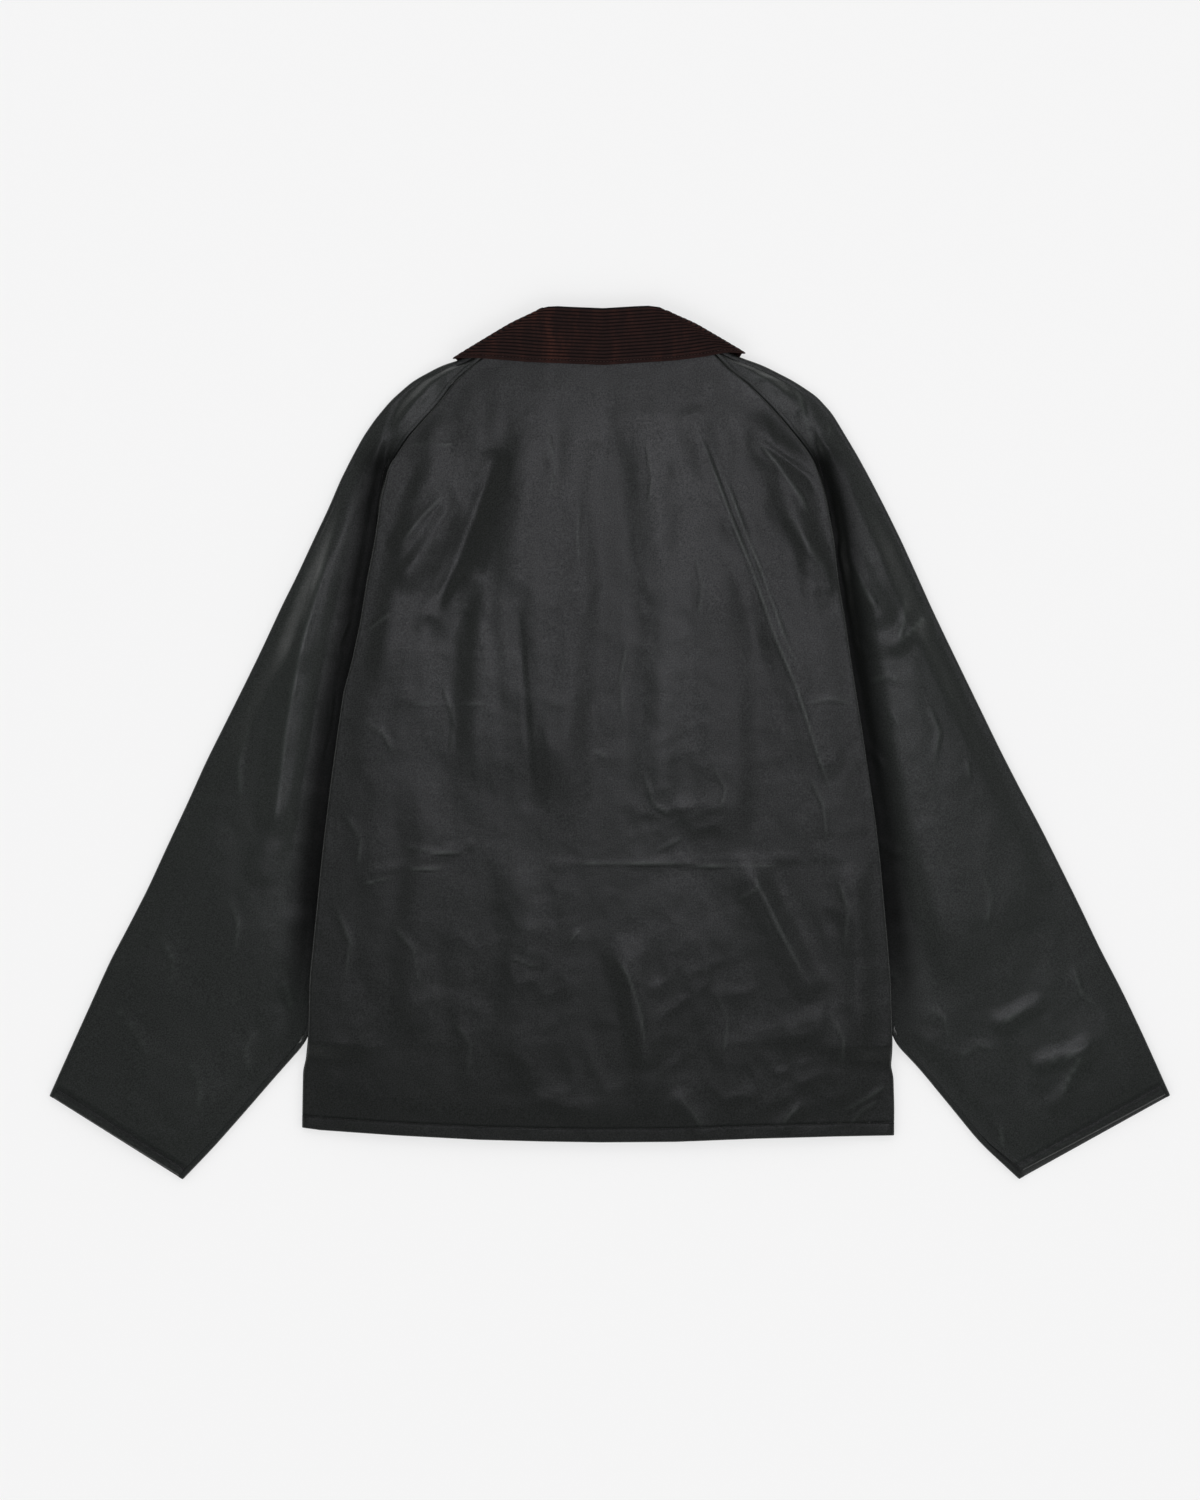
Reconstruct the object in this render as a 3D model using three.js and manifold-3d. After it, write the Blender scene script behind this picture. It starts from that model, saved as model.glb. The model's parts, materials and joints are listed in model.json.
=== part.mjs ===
import * as THREE from 'three';
import Module from 'manifold-3d';

// Waxed cotton jacket laid flat, face down, in millimetres.
// +X is to the right seen from behind, +Y runs to the collar, +Z up from the floor.
// left and right are the wearer's, which are also left and right seen from behind.

const CLOTH = 1.2;
const SEAM_GAP = 0.3;
const LAYER = CLOTH + SEAM_GAP;
const HEM_EXTRA = 0.5;
const HEM_STITCH = 12;
const CUFF_STITCH = 9.5;
const TURN_STEPS = 3;
const STITCH_STEP = 1.2;

// The laid jacket's box is centred on the origin by this shift.
const CENTRE_X = -0.2;
const CENTRE_Y = -0.25;

// Body: side folds of the back, how far the cloth is tucked under them, and height over the floor.
const BODY = [
  { y: 374, left: -176, right: 168, tuck: 5, edge: 4.9, middle: 4.9 },
  { y: 350, left: -188, right: 174, tuck: 5, edge: 4.9, middle: 4.9 },
  { y: 339, left: -191, right: 174.5, tuck: 5, edge: 4.8, middle: 5 },
  { y: 312, left: -199, right: 178.5, tuck: 5, edge: 4.6, middle: 5.7 },
  { y: 288, left: -205, right: 186.3, tuck: 5, edge: 5.1, middle: 5.8 },
  { y: 272, left: -208.3, right: 192, tuck: 5, edge: 5.9, middle: 5.2 },
  { y: 262, left: -210, right: 195.5, tuck: 5, edge: 6, middle: 5 },
  { y: 230, left: -218, right: 205.5, tuck: 8, edge: 6, middle: 4.5 },
  { y: 194, left: -223, right: 212.5, tuck: 13, edge: 6, middle: 4.5 },
  { y: 153, left: -231, right: 217, tuck: 18, edge: 6, middle: 4.5 },
  { y: 115, left: -237, right: 223.5, tuck: 22, edge: 6, middle: 4.5 },
  { y: 77, left: -245, right: 229, tuck: 26, edge: 6, middle: 4.5 },
  { y: 48, left: -253, right: 233.5, tuck: 29, edge: 6, middle: 4.5 },
  { y: 14, left: -258, right: 239, tuck: 32, edge: 6, middle: 4.5 },
  { y: -37, left: -265, right: 246.5, tuck: 36, edge: 6, middle: 4.5 },
  { y: -78, left: -270, right: 252.5, tuck: 38, edge: 6, middle: 4.5 },
  { y: -113, left: -274, right: 256.5, tuck: 33, edge: 6, middle: 4.5 },
  { y: -184, left: -281, right: 263, tuck: 22, edge: 6, middle: 4.5 },
  { y: -225, left: -285, right: 266.3, tuck: 15, edge: 6, middle: 4.5 },
  { y: -281, left: -286.4, right: 268, tuck: 10, edge: 6, middle: 4.5 },
  { y: -289, left: -287, right: 268, tuck: 10, edge: 6, middle: 4.4 },
  { y: -302, left: -288.6, right: 267.6, tuck: 10, edge: 3, middle: 4.3 },
  { y: -308, left: -288.8, right: 266, tuck: 10, edge: 2.5, middle: 4.2 },
  { y: -314, left: -291.4, right: 269, tuck: 10, edge: 2.3, middle: 4.2 },
  { y: -345, left: -292, right: 270, tuck: 10, edge: 2, middle: 4 },
  { y: -373, left: -292.4, right: 269.8, tuck: 10, edge: 2, middle: 3.8 },
];
const FOLD_START = 262;
const TUCK_DROP_TOP = -289;
const TUCK_DROP_END = -301;
const MIDDLE_BLEND = 75;

// Back panel above its folds: the raglan seams.
const RAGLAN = [
  { y: 372, left: -112.5, right: 96 },
  { y: 364, left: -122, right: 103 },
  { y: 354, left: -134, right: 112 },
  { y: 342, left: -148, right: 129 },
  { y: 324, left: -161, right: 147.5 },
  { y: 307, left: -176, right: 163 },
  { y: 289, left: -192, right: 178 },
  { y: 273, left: -202, right: 190 },
  { y: 262, left: -210, right: 195.5 },
];

// Hem edge of the body.
const HEM = [
  { x: -293, y: -365.5 },
  { x: -275, y: -368 },
  { x: -201, y: -373 },
  { x: -125, y: -377 },
  { x: -66, y: -378.6 },
  { x: -9, y: -379.5 },
  { x: 62, y: -379 },
  { x: 138, y: -376 },
  { x: 213, y: -374 },
  { x: 271, y: -373 },
];
const HEM_NOMINAL = -373;
const HEM_BLEND_START = -150;
const BACK_NECK = 372;

// Sleeves from neck to cuff: inner ends of the upper and lower halves, and the shared outer edge.
// dome is the fullness of the upper half; rise lifts it beside the back panel.
const SLEEVE_LEFT = [
  { ux: -115, uy: 370.6, lx: -95, ly: 320.5, ox: -126.2, oy: 372.8, dome: 0, rise: 1.7 },
  { ux: -123.8, uy: 363.2, lx: -99, ly: 316, ox: -140, oy: 364, dome: 0.1, rise: 1.7 },
  { ux: -135.6, uy: 353.3, lx: -105, ly: 310, ox: -160, oy: 357.7, dome: 0.3, rise: 1.7 },
  { ux: -149.4, uy: 341.3, lx: -113, ly: 302.5, ox: -187, oy: 343.5, dome: 0.6, rise: 1.9 },
  { ux: -162, uy: 323.5, lx: -125, ly: 290.5, ox: -208, oy: 325, dome: 0.8, rise: 2.5 },
  { ux: -177, uy: 306.5, lx: -137, ly: 277.5, ox: -223, oy: 307, dome: 1, rise: 2.7 },
  { ux: -193, uy: 289, lx: -150, ly: 262, ox: -234, oy: 291, dome: 1.2, rise: 2.6 },
  { ux: -203, uy: 272.5, lx: -163, ly: 245.5, ox: -245, oy: 271, dome: 1.4, rise: 2 },
  { ux: -211, uy: 258.5, lx: -177, ly: 228, ox: -256.5, oy: 248, dome: 1.6, rise: 1.5 },
  { ux: -216, uy: 228, lx: -189, ly: 211.5, ox: -267, oy: 223, dome: 1.8, rise: 1.5 },
  { ux: -219.3, uy: 190, lx: -200, ly: 195, ox: -282, oy: 191.5, dome: 1.9, rise: 0 },
  { ux: -221.3, uy: 150, lx: -212, ly: 166, ox: -297, oy: 159, dome: 2, rise: 0 },
  { ux: -224.3, uy: 110, lx: -219, ly: 110, ox: -312, oy: 129, dome: 2, rise: 0 },
  { ux: -227.2, uy: 66, lx: -222, ly: 65, ox: -330, oy: 90, dome: 2, rise: 0 },
  { ux: -231.1, uy: 21.3, lx: -226, ly: 20, ox: -348, oy: 53, dome: 2, rise: 0 },
  { ux: -235, uy: -28.3, lx: -230, ly: -30, ox: -366, oy: 17, dome: 2, rise: 0 },
  { ux: -237.9, uy: -76, lx: -233, ly: -78, ox: -384, oy: -19, dome: 2, rise: 0 },
  { ux: -250.8, uy: -127.7, lx: -246, ly: -130, ox: -401, oy: -57, dome: 2, rise: 0 },
  { ux: -264.6, uy: -182.5, lx: -260, ly: -185, ox: -420, oy: -97.5, dome: 2, rise: 0 },
  { ux: -277.6, uy: -232.3, lx: -273, ly: -235, ox: -439, oy: -139, dome: 2, rise: 0 },
  { ux: -291, uy: -279.6, lx: -286.5, ly: -282.5, ox: -457.5, oy: -175, dome: 2, rise: 0 },
  { ux: -321, uy: -313.1, lx: -316.5, ly: -316, ox: -474.5, oy: -207, dome: 1.9, rise: 0 },
  { ux: -349.4, uy: -346, lx: -345, ly: -349, ox: -493, oy: -248, dome: 1.8, rise: 0 },
  { ux: -379.4, uy: -380, lx: -375, ly: -383, ox: -512, oy: -290, dome: 1.6, rise: 0 },
  { ux: -409.8, uy: -411.5, lx: -405.7, ly: -415, ox: -532.4, oy: -335.5, dome: 1.4, rise: 0 },
];
const SLEEVE_RIGHT = [
  { ux: 98.3, uy: 370.6, lx: 75, ly: 320.5, ox: 107.8, oy: 372.8, dome: 0, rise: 1.7 },
  { ux: 104.8, uy: 363.2, lx: 79, ly: 316, ox: 119.5, oy: 367, dome: 0.1, rise: 1.7 },
  { ux: 113.9, uy: 353.2, lx: 85, ly: 310, ox: 146, oy: 357.6, dome: 0.3, rise: 1.7 },
  { ux: 130.5, uy: 341.2, lx: 93, ly: 302.5, ox: 174, oy: 343.5, dome: 0.6, rise: 1.9 },
  { ux: 148.5, uy: 323.5, lx: 105, ly: 290.5, ox: 196, oy: 329, dome: 0.8, rise: 2.5 },
  { ux: 164, uy: 306.5, lx: 117, ly: 277.5, ox: 211, oy: 312.5, dome: 1, rise: 2.7 },
  { ux: 179, uy: 289, lx: 130, ly: 262, ox: 223.6, oy: 291.6, dome: 1.2, rise: 2.6 },
  { ux: 191, uy: 272.5, lx: 143, ly: 245.5, ox: 236, oy: 270.7, dome: 1.4, rise: 2 },
  { ux: 196.5, uy: 258.5, lx: 157, ly: 228, ox: 247, oy: 250.5, dome: 1.6, rise: 1.5 },
  { ux: 202, uy: 228, lx: 170, ly: 211.5, ox: 261, oy: 223.5, dome: 1.8, rise: 1.5 },
  { ux: 205.3, uy: 190, lx: 182, ly: 195, ox: 277, oy: 191, dome: 1.9, rise: 0 },
  { ux: 207.3, uy: 150, lx: 195, ly: 166, ox: 291, oy: 160, dome: 2, rise: 0 },
  { ux: 208.3, uy: 110.5, lx: 203, ly: 110, ox: 306, oy: 126.5, dome: 2, rise: 0 },
  { ux: 211.2, uy: 66, lx: 206, ly: 65, ox: 322, oy: 93, dome: 2, rise: 0 },
  { ux: 214.1, uy: 21.3, lx: 209, ly: 20, ox: 338, oy: 60, dome: 2, rise: 0 },
  { ux: 217, uy: -28.5, lx: 212, ly: -30, ox: 354, oy: 27, dome: 2, rise: 0 },
  { ux: 219.9, uy: -76, lx: 215, ly: -78, ox: 371, oy: -8, dome: 2, rise: 0 },
  { ux: 232.8, uy: -127.7, lx: 228, ly: -130, ox: 390, oy: -45, dome: 2, rise: 0 },
  { ux: 246.6, uy: -182.5, lx: 242, ly: -185, ox: 409, oy: -80.5, dome: 2, rise: 0 },
  { ux: 260.6, uy: -232.3, lx: 256, ly: -235, ox: 428, oy: -118.5, dome: 2, rise: 0 },
  { ux: 273.4, uy: -281.3, lx: 269, ly: -284, ox: 447, oy: -157, dome: 2, rise: 0 },
  { ux: 297.3, uy: -306.3, lx: 293, ly: -309, ox: 465, oy: -195, dome: 1.9, rise: 0 },
  { ux: 325.4, uy: -340, lx: 321, ly: -343, ox: 486, oy: -235, dome: 1.8, rise: 0 },
  { ux: 355.4, uy: -377, lx: 351, ly: -380, ox: 506, oy: -277, dome: 1.6, rise: 0 },
  { ux: 393.8, uy: -407.5, lx: 388.4, ly: -414.6, ox: 532, oy: -335, dome: 1.4, rise: 0 },
];
const OVERARM_LIP = 4;
const UNDERARM_LIP = 5;
// The upper half stops short of the lower half at the right cuff.
const CUFF_BACK_INSET = { left: 0.4, right: 2.6 };
const FOLD_SHARE_MIN = 0.06;
const FOLD_SHARE_MAX = 0.8;

// Front panels: neck and raglan edges seen from above, for the left; the right mirrors them
// about the centre front line.
const CENTRE_FRONT = -9.5;
const FRONT_RAGLAN = [
  { y: 320.5, across: 83.5 },
  { y: 310, across: 94 },
  { y: 302.5, across: 102 },
  { y: 290.5, across: 114 },
  { y: 277.5, across: 126 },
  { y: 262, across: 139 },
  { y: 245.5, across: 152 },
  { y: 228, across: 166 },
  { y: 211.5, across: 178 },
  { y: 198, across: 187.5 },
];
const FRONT_NECK = [
  { across: -15, y: 288 },
  { across: 42, y: 304 },
  { across: 61, y: 312 },
  { across: 80, y: 320.5 },
];
const FRONT_INSET = 13;
const FRONT_SIDE_TOP = 190;
const FRONT_RAMP = 26;
const FRONT_HEM_SHORT = 1.5;
const PLACKET_HALF = 15;
const PLACKET_CLOTH = 1.8;
const PLACKET_LIFT = PLACKET_CLOTH + SEAM_GAP;
const NECK_LAP_EASE = 0.8;

// Press studs of the closure.
const STUD = {
  first: 246, pitch: 126, count: 5,
  capRadius: 7.5, capHeight: 0.8, postRadius: 2.6, topRadius: 6, topHeight: 0.6,
  clearance: 0.3, sides: 10,
};

// Collar: roll line, fall edge and neck seam of each section, from the centre back to the centre front.
// turn is the angle of the section about the side fold, 90 on top and -90 underneath.
const COLLAR_LEFT = [
  { rx: -6.7, ry: 410.4, fx: -6, fy: 358, sx: -8, sy: 372.6, turn: 90, ox: 0, oy: 1 },
  { rx: -37, ry: 411.8, fx: -78, fy: 360.8, sx: -68, sy: 372.6, turn: 90, ox: 0, oy: 1 },
  { rx: -50, ry: 412.6, fx: -108, fy: 363.4, sx: -96, sy: 372.8, turn: 90, ox: 0, oy: 1 },
  { rx: -59, ry: 412.3, fx: -130, fy: 364.7, sx: -113, sy: 374.2, turn: 90, ox: 0, oy: 1 },
  { rx: -64.4, ry: 411.1, fx: -146, fy: 364.3, sx: -126.5, sy: 377.6, turn: 90, ox: -0.517, oy: 0.856 },
  { rx: -64.4, ry: 411.1, fx: -146, fy: 364.3, sx: -126.5, sy: 377.6, turn: 45, ox: -0.517, oy: 0.856 },
  { rx: -64.4, ry: 411.1, fx: -146, fy: 364.3, sx: -126.5, sy: 377.6, turn: 0, ox: -0.517, oy: 0.856 },
  { rx: -64.4, ry: 411.1, fx: -146, fy: 364.3, sx: -126.5, sy: 377.6, turn: -45, ox: -0.517, oy: 0.856 },
  { rx: -64.4, ry: 411.1, fx: -146, fy: 364.3, sx: -126.5, sy: 377.6, turn: -90, ox: -0.517, oy: 0.856 },
  { rx: -53, ry: 390, fx: -126, fy: 341, sx: -109, sy: 350.5, turn: -90, ox: 0, oy: 1 },
  { rx: -38, ry: 366, fx: -105, fy: 316, sx: -92, sy: 323.5, turn: -90, ox: 0, oy: 1 },
  { rx: -24, ry: 347, fx: -84, fy: 291, sx: -52, sy: 305.4, turn: -90, ox: 0, oy: 1 },
  { rx: -11.8, ry: 334, fx: -63, fy: 267, sx: -11.8, sy: 293.5, turn: -90, ox: 0, oy: 1 },
];
const COLLAR_RIGHT = [
  { rx: 24, ry: 412.4, fx: 62, fy: 362.3, sx: 52, sy: 372.6, turn: 90, ox: 0, oy: 1 },
  { rx: 37, ry: 413, fx: 90, fy: 366, sx: 80, sy: 372.8, turn: 90, ox: 0, oy: 1 },
  { rx: 47.5, ry: 411.8, fx: 111, fy: 370, sx: 96, sy: 374.4, turn: 90, ox: 0, oy: 1 },
  { rx: 53.9, ry: 408.6, fx: 125.3, fy: 369.2, sx: 108, sy: 377.6, turn: 90, ox: 0.498, oy: 0.867 },
  { rx: 53.9, ry: 408.6, fx: 125.3, fy: 369.2, sx: 108, sy: 377.6, turn: 45, ox: 0.498, oy: 0.867 },
  { rx: 53.9, ry: 408.6, fx: 125.3, fy: 369.2, sx: 108, sy: 377.6, turn: 0, ox: 0.498, oy: 0.867 },
  { rx: 53.9, ry: 408.6, fx: 125.3, fy: 369.2, sx: 108, sy: 377.6, turn: -45, ox: 0.498, oy: 0.867 },
  { rx: 53.9, ry: 408.6, fx: 125.3, fy: 369.2, sx: 108, sy: 377.6, turn: -90, ox: 0.498, oy: 0.867 },
  { rx: 42, ry: 390, fx: 107, fy: 341, sx: 90, sy: 350.5, turn: -90, ox: 0, oy: 1 },
  { rx: 24, ry: 366, fx: 86, fy: 316, sx: 73, sy: 323.5, turn: -90, ox: 0, oy: 1 },
  { rx: 7, ry: 347, fx: 65, fy: 291, sx: 33, sy: 305.4, turn: -90, ox: 0, oy: 1 },
  { rx: -7.2, ry: 334, fx: 44, fy: 267, sx: -7.2, sy: 293.5, turn: -90, ox: 0, oy: 1 },
];
const COLLAR_CLOTH = 1.4;
const COLLAR_HALF_STACK = 3.25;
const COLLAR_MIDDLE = COLLAR_HALF_STACK + COLLAR_CLOTH / 2;
const ROLL_RADIUS = 0.85;
const STAND_HALF_STACK = COLLAR_HALF_STACK - 2 * ROLL_RADIUS;
const WALES = 16;
const WALE_HEIGHT = 0.5;
const WALE_RIM = 1.5;
const STAND_END_LEFT = -1.6;
const STAND_END_RIGHT = 0.4;

// The collar's front leaves lift what lies on them: outer edge and front edge of each.
const LEAF_LIFT = 1.7;
const LEAF_OUTER_RAMP = { from: -44, to: -16 };
const LEAF_FRONT_RAMP = { from: -30, to: -7 };
const LEAVES = [
  { outerX: -146, outerY: 364.3, pointX: -63, pointY: 267, rollX: -11.8, rollY: 334, side: 1 },
  { outerX: 125.3, outerY: 369.2, pointX: 44, pointY: 267, rollX: -7.2, rollY: 334, side: -1 },
];

// Largest folds of the laid cloth: soft ridges, or troughs where height is negative.
const BACK_FOLDS = [
  { x1: 76, y1: 306, x2: 117, y2: 204, width: 20, height: 1.3 },
  { x1: 117, y1: 204, x2: 156, y2: 102, width: 20, height: 1.5 },
  { x1: 156, y1: 102, x2: 205, y2: -17, width: 22, height: 1.4 },
  { x1: 147, y1: 281, x2: 197, y2: 245, width: 13, height: -0.8 },
  { x1: 163, y1: 225, x2: 212, y2: 153, width: 20, height: 0.9 },
  { x1: -111, y1: 263, x2: -172, y2: 102, width: 20, height: -1.2 },
  { x1: -157, y1: 235, x2: -198, y2: 189, width: 16, height: 1 },
  { x1: -88, y1: 135, x2: -73, y2: -52, width: 20, height: -0.8 },
  { x1: 137, y1: -127, x2: 186, y2: -225, width: 24, height: 1 },
  { x1: 2, y1: -198, x2: 34, y2: -292, width: 18, height: 0.9 },
  { x1: -50, y1: -116, x2: 175, y2: -110, width: 12, height: 0.6 },
  { x1: -235, y1: -128, x2: -133, y2: -97, width: 12, height: 0.6 },
  { x1: 66, y1: -335, x2: 88, y2: -366, width: 14, height: 0.8 },
  { x1: 164, y1: -363, x2: 179, y2: -346, width: 12, height: 0.8 },
];
const SLEEVE_FOLDS = [
  { x1: -254, y1: 230, x2: -294, y2: 85, width: 22, height: 1.2 },
  { x1: -294, y1: 85, x2: -316, y2: -68, width: 24, height: 1.4 },
  { x1: -316, y1: -68, x2: -330, y2: -120, width: 22, height: 1 },
  { x1: 226, y1: 178, x2: 255, y2: 122, width: 18, height: 1.2 },
  { x1: 272, y1: 94, x2: 300, y2: 121, width: 16, height: 1 },
  { x1: 371, y1: -266, x2: 404, y2: -248, width: 14, height: 1.2 },
  { x1: 409, y1: -305, x2: 454, y2: -289, width: 14, height: 1.2 },
  { x1: 451, y1: -291, x2: 425, y2: -341, width: 14, height: 1 },
];

const COLOURS = {
  waxedCotton: { color: 0x2f3232, roughness: 0.46, metalness: 0 },
  waxedCottonSleeve: { color: 0x2b2e2d, roughness: 0.46, metalness: 0 },
  corduroy: { color: 0x321c17, roughness: 0.92, metalness: 0 },
  pressStud: { color: 0x4a3b22, roughness: 0.35, metalness: 1 },
};

function clamp01(value) {
  return Math.min(1, Math.max(0, value));
}

function smooth(from, to, value) {
  const share = clamp01((value - from) / (to - from));
  return share * share * (3 - 2 * share);
}

function mix(from, to, share) {
  return from + (to - from) * share;
}

// Column of a table at a key that runs up or down the table, straight between rows.
function columnAt(table, keyName, key, column) {
  const rising = table[table.length - 1][keyName] > table[0][keyName];
  let i = 0;
  while (i < table.length - 2 && (rising ? key > table[i + 1][keyName] : key < table[i + 1][keyName])) {
    i += 1;
  }
  const from = table[i];
  const to = table[i + 1];
  return mix(from[column], to[column], clamp01((key - from[keyName]) / (to[keyName] - from[keyName])));
}

// Row of a table at a fractional index.
function rowAt(table, index) {
  const i = Math.min(Math.floor(index), table.length - 2);
  const row = {};
  for (const column of Object.keys(table[i])) {
    row[column] = mix(table[i][column], table[i + 1][column], index - i);
  }
  return row;
}

function segmentDistance(x, y, fold) {
  const dx = fold.x2 - fold.x1;
  const dy = fold.y2 - fold.y1;
  const share = clamp01(((x - fold.x1) * dx + (y - fold.y1) * dy) / (dx * dx + dy * dy));
  return Math.hypot(x - fold.x1 - share * dx, y - fold.y1 - share * dy);
}

function foldHeight(folds, x, y) {
  let height = 0;
  for (const fold of folds) {
    const near = 1 - segmentDistance(x, y, fold) / fold.width;
    height += fold.height * smooth(0, 1, near);
  }
  return height;
}

// Distance inside the body's side folds, negative outside them.
function bodyInset(x, y) {
  return Math.min(x - columnAt(BODY, 'y', y, 'left'), columnAt(BODY, 'y', y, 'right') - x);
}

function leafLift(x, y) {
  let share = 0;
  for (const leaf of LEAVES) {
    const outerLength = Math.hypot(leaf.pointX - leaf.outerX, leaf.pointY - leaf.outerY);
    const frontLength = Math.hypot(leaf.rollX - leaf.pointX, leaf.rollY - leaf.pointY);
    const outer = leaf.side * ((leaf.pointX - leaf.outerX) * (y - leaf.outerY)
      - (leaf.pointY - leaf.outerY) * (x - leaf.outerX)) / outerLength;
    const front = leaf.side * ((leaf.rollX - leaf.pointX) * (y - leaf.pointY)
      - (leaf.rollY - leaf.pointY) * (x - leaf.pointX)) / frontLength;
    const overOuter = smooth(LEAF_OUTER_RAMP.from, LEAF_OUTER_RAMP.to, outer);
    const overFrontEdge = smooth(LEAF_FRONT_RAMP.from, LEAF_FRONT_RAMP.to, front);
    share = Math.max(share, Math.min(overOuter, overFrontEdge));
  }
  return LEAF_LIFT * share;
}

// Share of a layer by which the sleeve is lifted where it lies over a front panel.
function overFront(x, y) {
  return smooth(-FRONT_RAMP, 2, bodyInset(x, y)) * (1 - smooth(FRONT_SIDE_TOP + 6, FRONT_SIDE_TOP + 30, y));
}

// Undersides of the stacked layers over the floor.
function sleeveFrontFloor(x, y) {
  return leafLift(x, y) + LAYER * overFront(x, y);
}

function backFloor(x, y, inset) {
  const tuck = columnAt(BODY, 'y', y, 'tuck');
  const share = smooth(tuck + 2, tuck + MIDDLE_BLEND, inset);
  const flat = mix(columnAt(BODY, 'y', y, 'edge'), columnAt(BODY, 'y', y, 'middle'), share);
  const free = smooth(0, 12, inset) * smooth(16, 34, Math.abs(x - CENTRE_FRONT));
  return flat + foldHeight(BACK_FOLDS, x, y) * free;
}

function backEdge(y, side) {
  return y > FOLD_START ? columnAt(RAGLAN, 'y', y, side) : columnAt(BODY, 'y', y, side);
}

// Height of a body row at x, bent so that the last row follows the hem.
function bodyY(x, rowY) {
  const share = clamp01((HEM_BLEND_START - rowY) / (HEM_BLEND_START - HEM_NOMINAL));
  return rowY + (columnAt(HEM, 'x', x, 'y') - HEM_NOMINAL) * share;
}

// Turned edge in its section: [distance in from the outline, height of the wall's middle],
// from the free end of the turned part round to the start of the main part.
function turnedEdge(reach, fromHeight, toHeight) {
  const radius = (toHeight - fromHeight) / 2;
  const centre = CLOTH / 2 + Math.abs(radius);
  const points = [[reach, fromHeight]];
  for (let step = 0; step <= TURN_STEPS; step += 1) {
    const angle = Math.PI * (step / TURN_STEPS - 0.5);
    points.push([
      centre - Math.abs(radius) * Math.cos(angle),
      fromHeight + radius + radius * Math.sin(angle),
    ]);
  }
  return points;
}

// Closed wall round a grid of middle points with thickness t and outward relief r.
function wallGeometry(grid) {
  const rows = grid.length;
  const columns = grid[0].length;
  const along = (j, i, dj, di) => {
    const direction = new THREE.Vector3();
    for (const sign of [-1, 1]) {
      const jj = j + sign * dj;
      const ii = i + sign * di;
      if (jj >= 0 && jj < rows && ii >= 0 && ii < columns) {
        const step = grid[jj][ii].p.clone().sub(grid[j][i].p).multiplyScalar(sign);
        direction.add(step.normalize());
      }
    }
    return direction;
  };
  const outer = [];
  const inner = [];
  for (let j = 0; j < rows; j += 1) {
    for (let i = 0; i < columns; i += 1) {
      const point = grid[j][i];
      const normal = along(j, i, 0, 1).cross(along(j, i, 1, 0)).normalize();
      outer.push(point.p.clone().addScaledVector(normal, point.t / 2 + (point.r || 0)));
      inner.push(point.p.clone().addScaledVector(normal, -point.t / 2));
    }
  }
  const positions = [...outer, ...inner].flatMap((p) => [p.x, p.y, p.z]);
  const offset = rows * columns;
  const at = (j, i) => j * columns + i;
  const faces = [];
  const quad = (a, b, c, d) => faces.push(a, b, c, a, c, d);
  for (let j = 0; j < rows - 1; j += 1) {
    for (let i = 0; i < columns - 1; i += 1) {
      quad(at(j, i), at(j, i + 1), at(j + 1, i + 1), at(j + 1, i));
      quad(offset + at(j, i), offset + at(j + 1, i), offset + at(j + 1, i + 1), offset + at(j, i + 1));
    }
  }
  for (let i = 0; i < columns - 1; i += 1) {
    quad(at(0, i), offset + at(0, i), offset + at(0, i + 1), at(0, i + 1));
    quad(at(rows - 1, i + 1), offset + at(rows - 1, i + 1), offset + at(rows - 1, i), at(rows - 1, i));
  }
  for (let j = 0; j < rows - 1; j += 1) {
    quad(at(j + 1, 0), offset + at(j + 1, 0), offset + at(j, 0), at(j, 0));
    quad(at(j, columns - 1), offset + at(j, columns - 1), offset + at(j + 1, columns - 1), at(j + 1, columns - 1));
  }
  const geometry = new THREE.BufferGeometry();
  geometry.setAttribute('position', new THREE.Float32BufferAttribute(positions, 3));
  geometry.setIndex(faces);
  return geometry;
}

// Back panel: rows from neck to hem, each a section with both side edges turned under.
const BACK_ROWS = [
  372, 364, 354, 342, 324, 307, 289, 273, 262, 246, 226, 200, 166, 130, 92, 54, 16, -22, -60,
  -98, -136, -174, -212, -246, -272, -289, -301, -308, -314, -338,
];
const BACK_COLUMNS = 21;

function backSection(rowY, hemmed) {
  const left = backEdge(rowY, 'left');
  const right = backEdge(rowY, 'right');
  const tuck = columnAt(BODY, 'y', rowY, 'tuck');
  const edge = columnAt(BODY, 'y', rowY, 'edge') + CLOTH / 2;
  const dropped = smooth(TUCK_DROP_TOP, TUCK_DROP_END, rowY);
  const under = mix(edge - LAYER, CLOTH / 2, dropped);
  const turn = turnedEdge(tuck, under, edge);
  const start = turn[turn.length - 1][0];
  const section = [];
  const place = (x, z, relief) => section.push({
    p: new THREE.Vector3(x, bodyY(x, rowY), z),
    t: CLOTH,
    r: relief,
  });
  for (const [inset, height] of turn) {
    place(left + inset, height, 0);
  }
  for (let i = 1; i < BACK_COLUMNS; i += 1) {
    const x = mix(left + start, right - start, i / BACK_COLUMNS);
    const inset = Math.min(x - left, right - x);
    place(x, backFloor(x, rowY, inset) + CLOTH / 2, hemmed);
  }
  for (const [inset, height] of turn.slice().reverse()) {
    place(right - inset, height, 0);
  }
  return section;
}

function buildBack() {
  const grid = BACK_ROWS.map((rowY) => backSection(rowY, 0));
  grid.push(backSection(HEM_NOMINAL + HEM_STITCH + STITCH_STEP, 0));
  grid.push(backSection(HEM_NOMINAL + HEM_STITCH, HEM_EXTRA));
  grid.push(backSection(HEM_NOMINAL, HEM_EXTRA));
  return wallGeometry(grid.reverse());
}

const SLEEVE_ROWS = [0, 1, 2, 3, 4, 5, 6, 7, 8, 9, 10, 11, 12, 14, 16, 18, 20, 21.5, 23];

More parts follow.
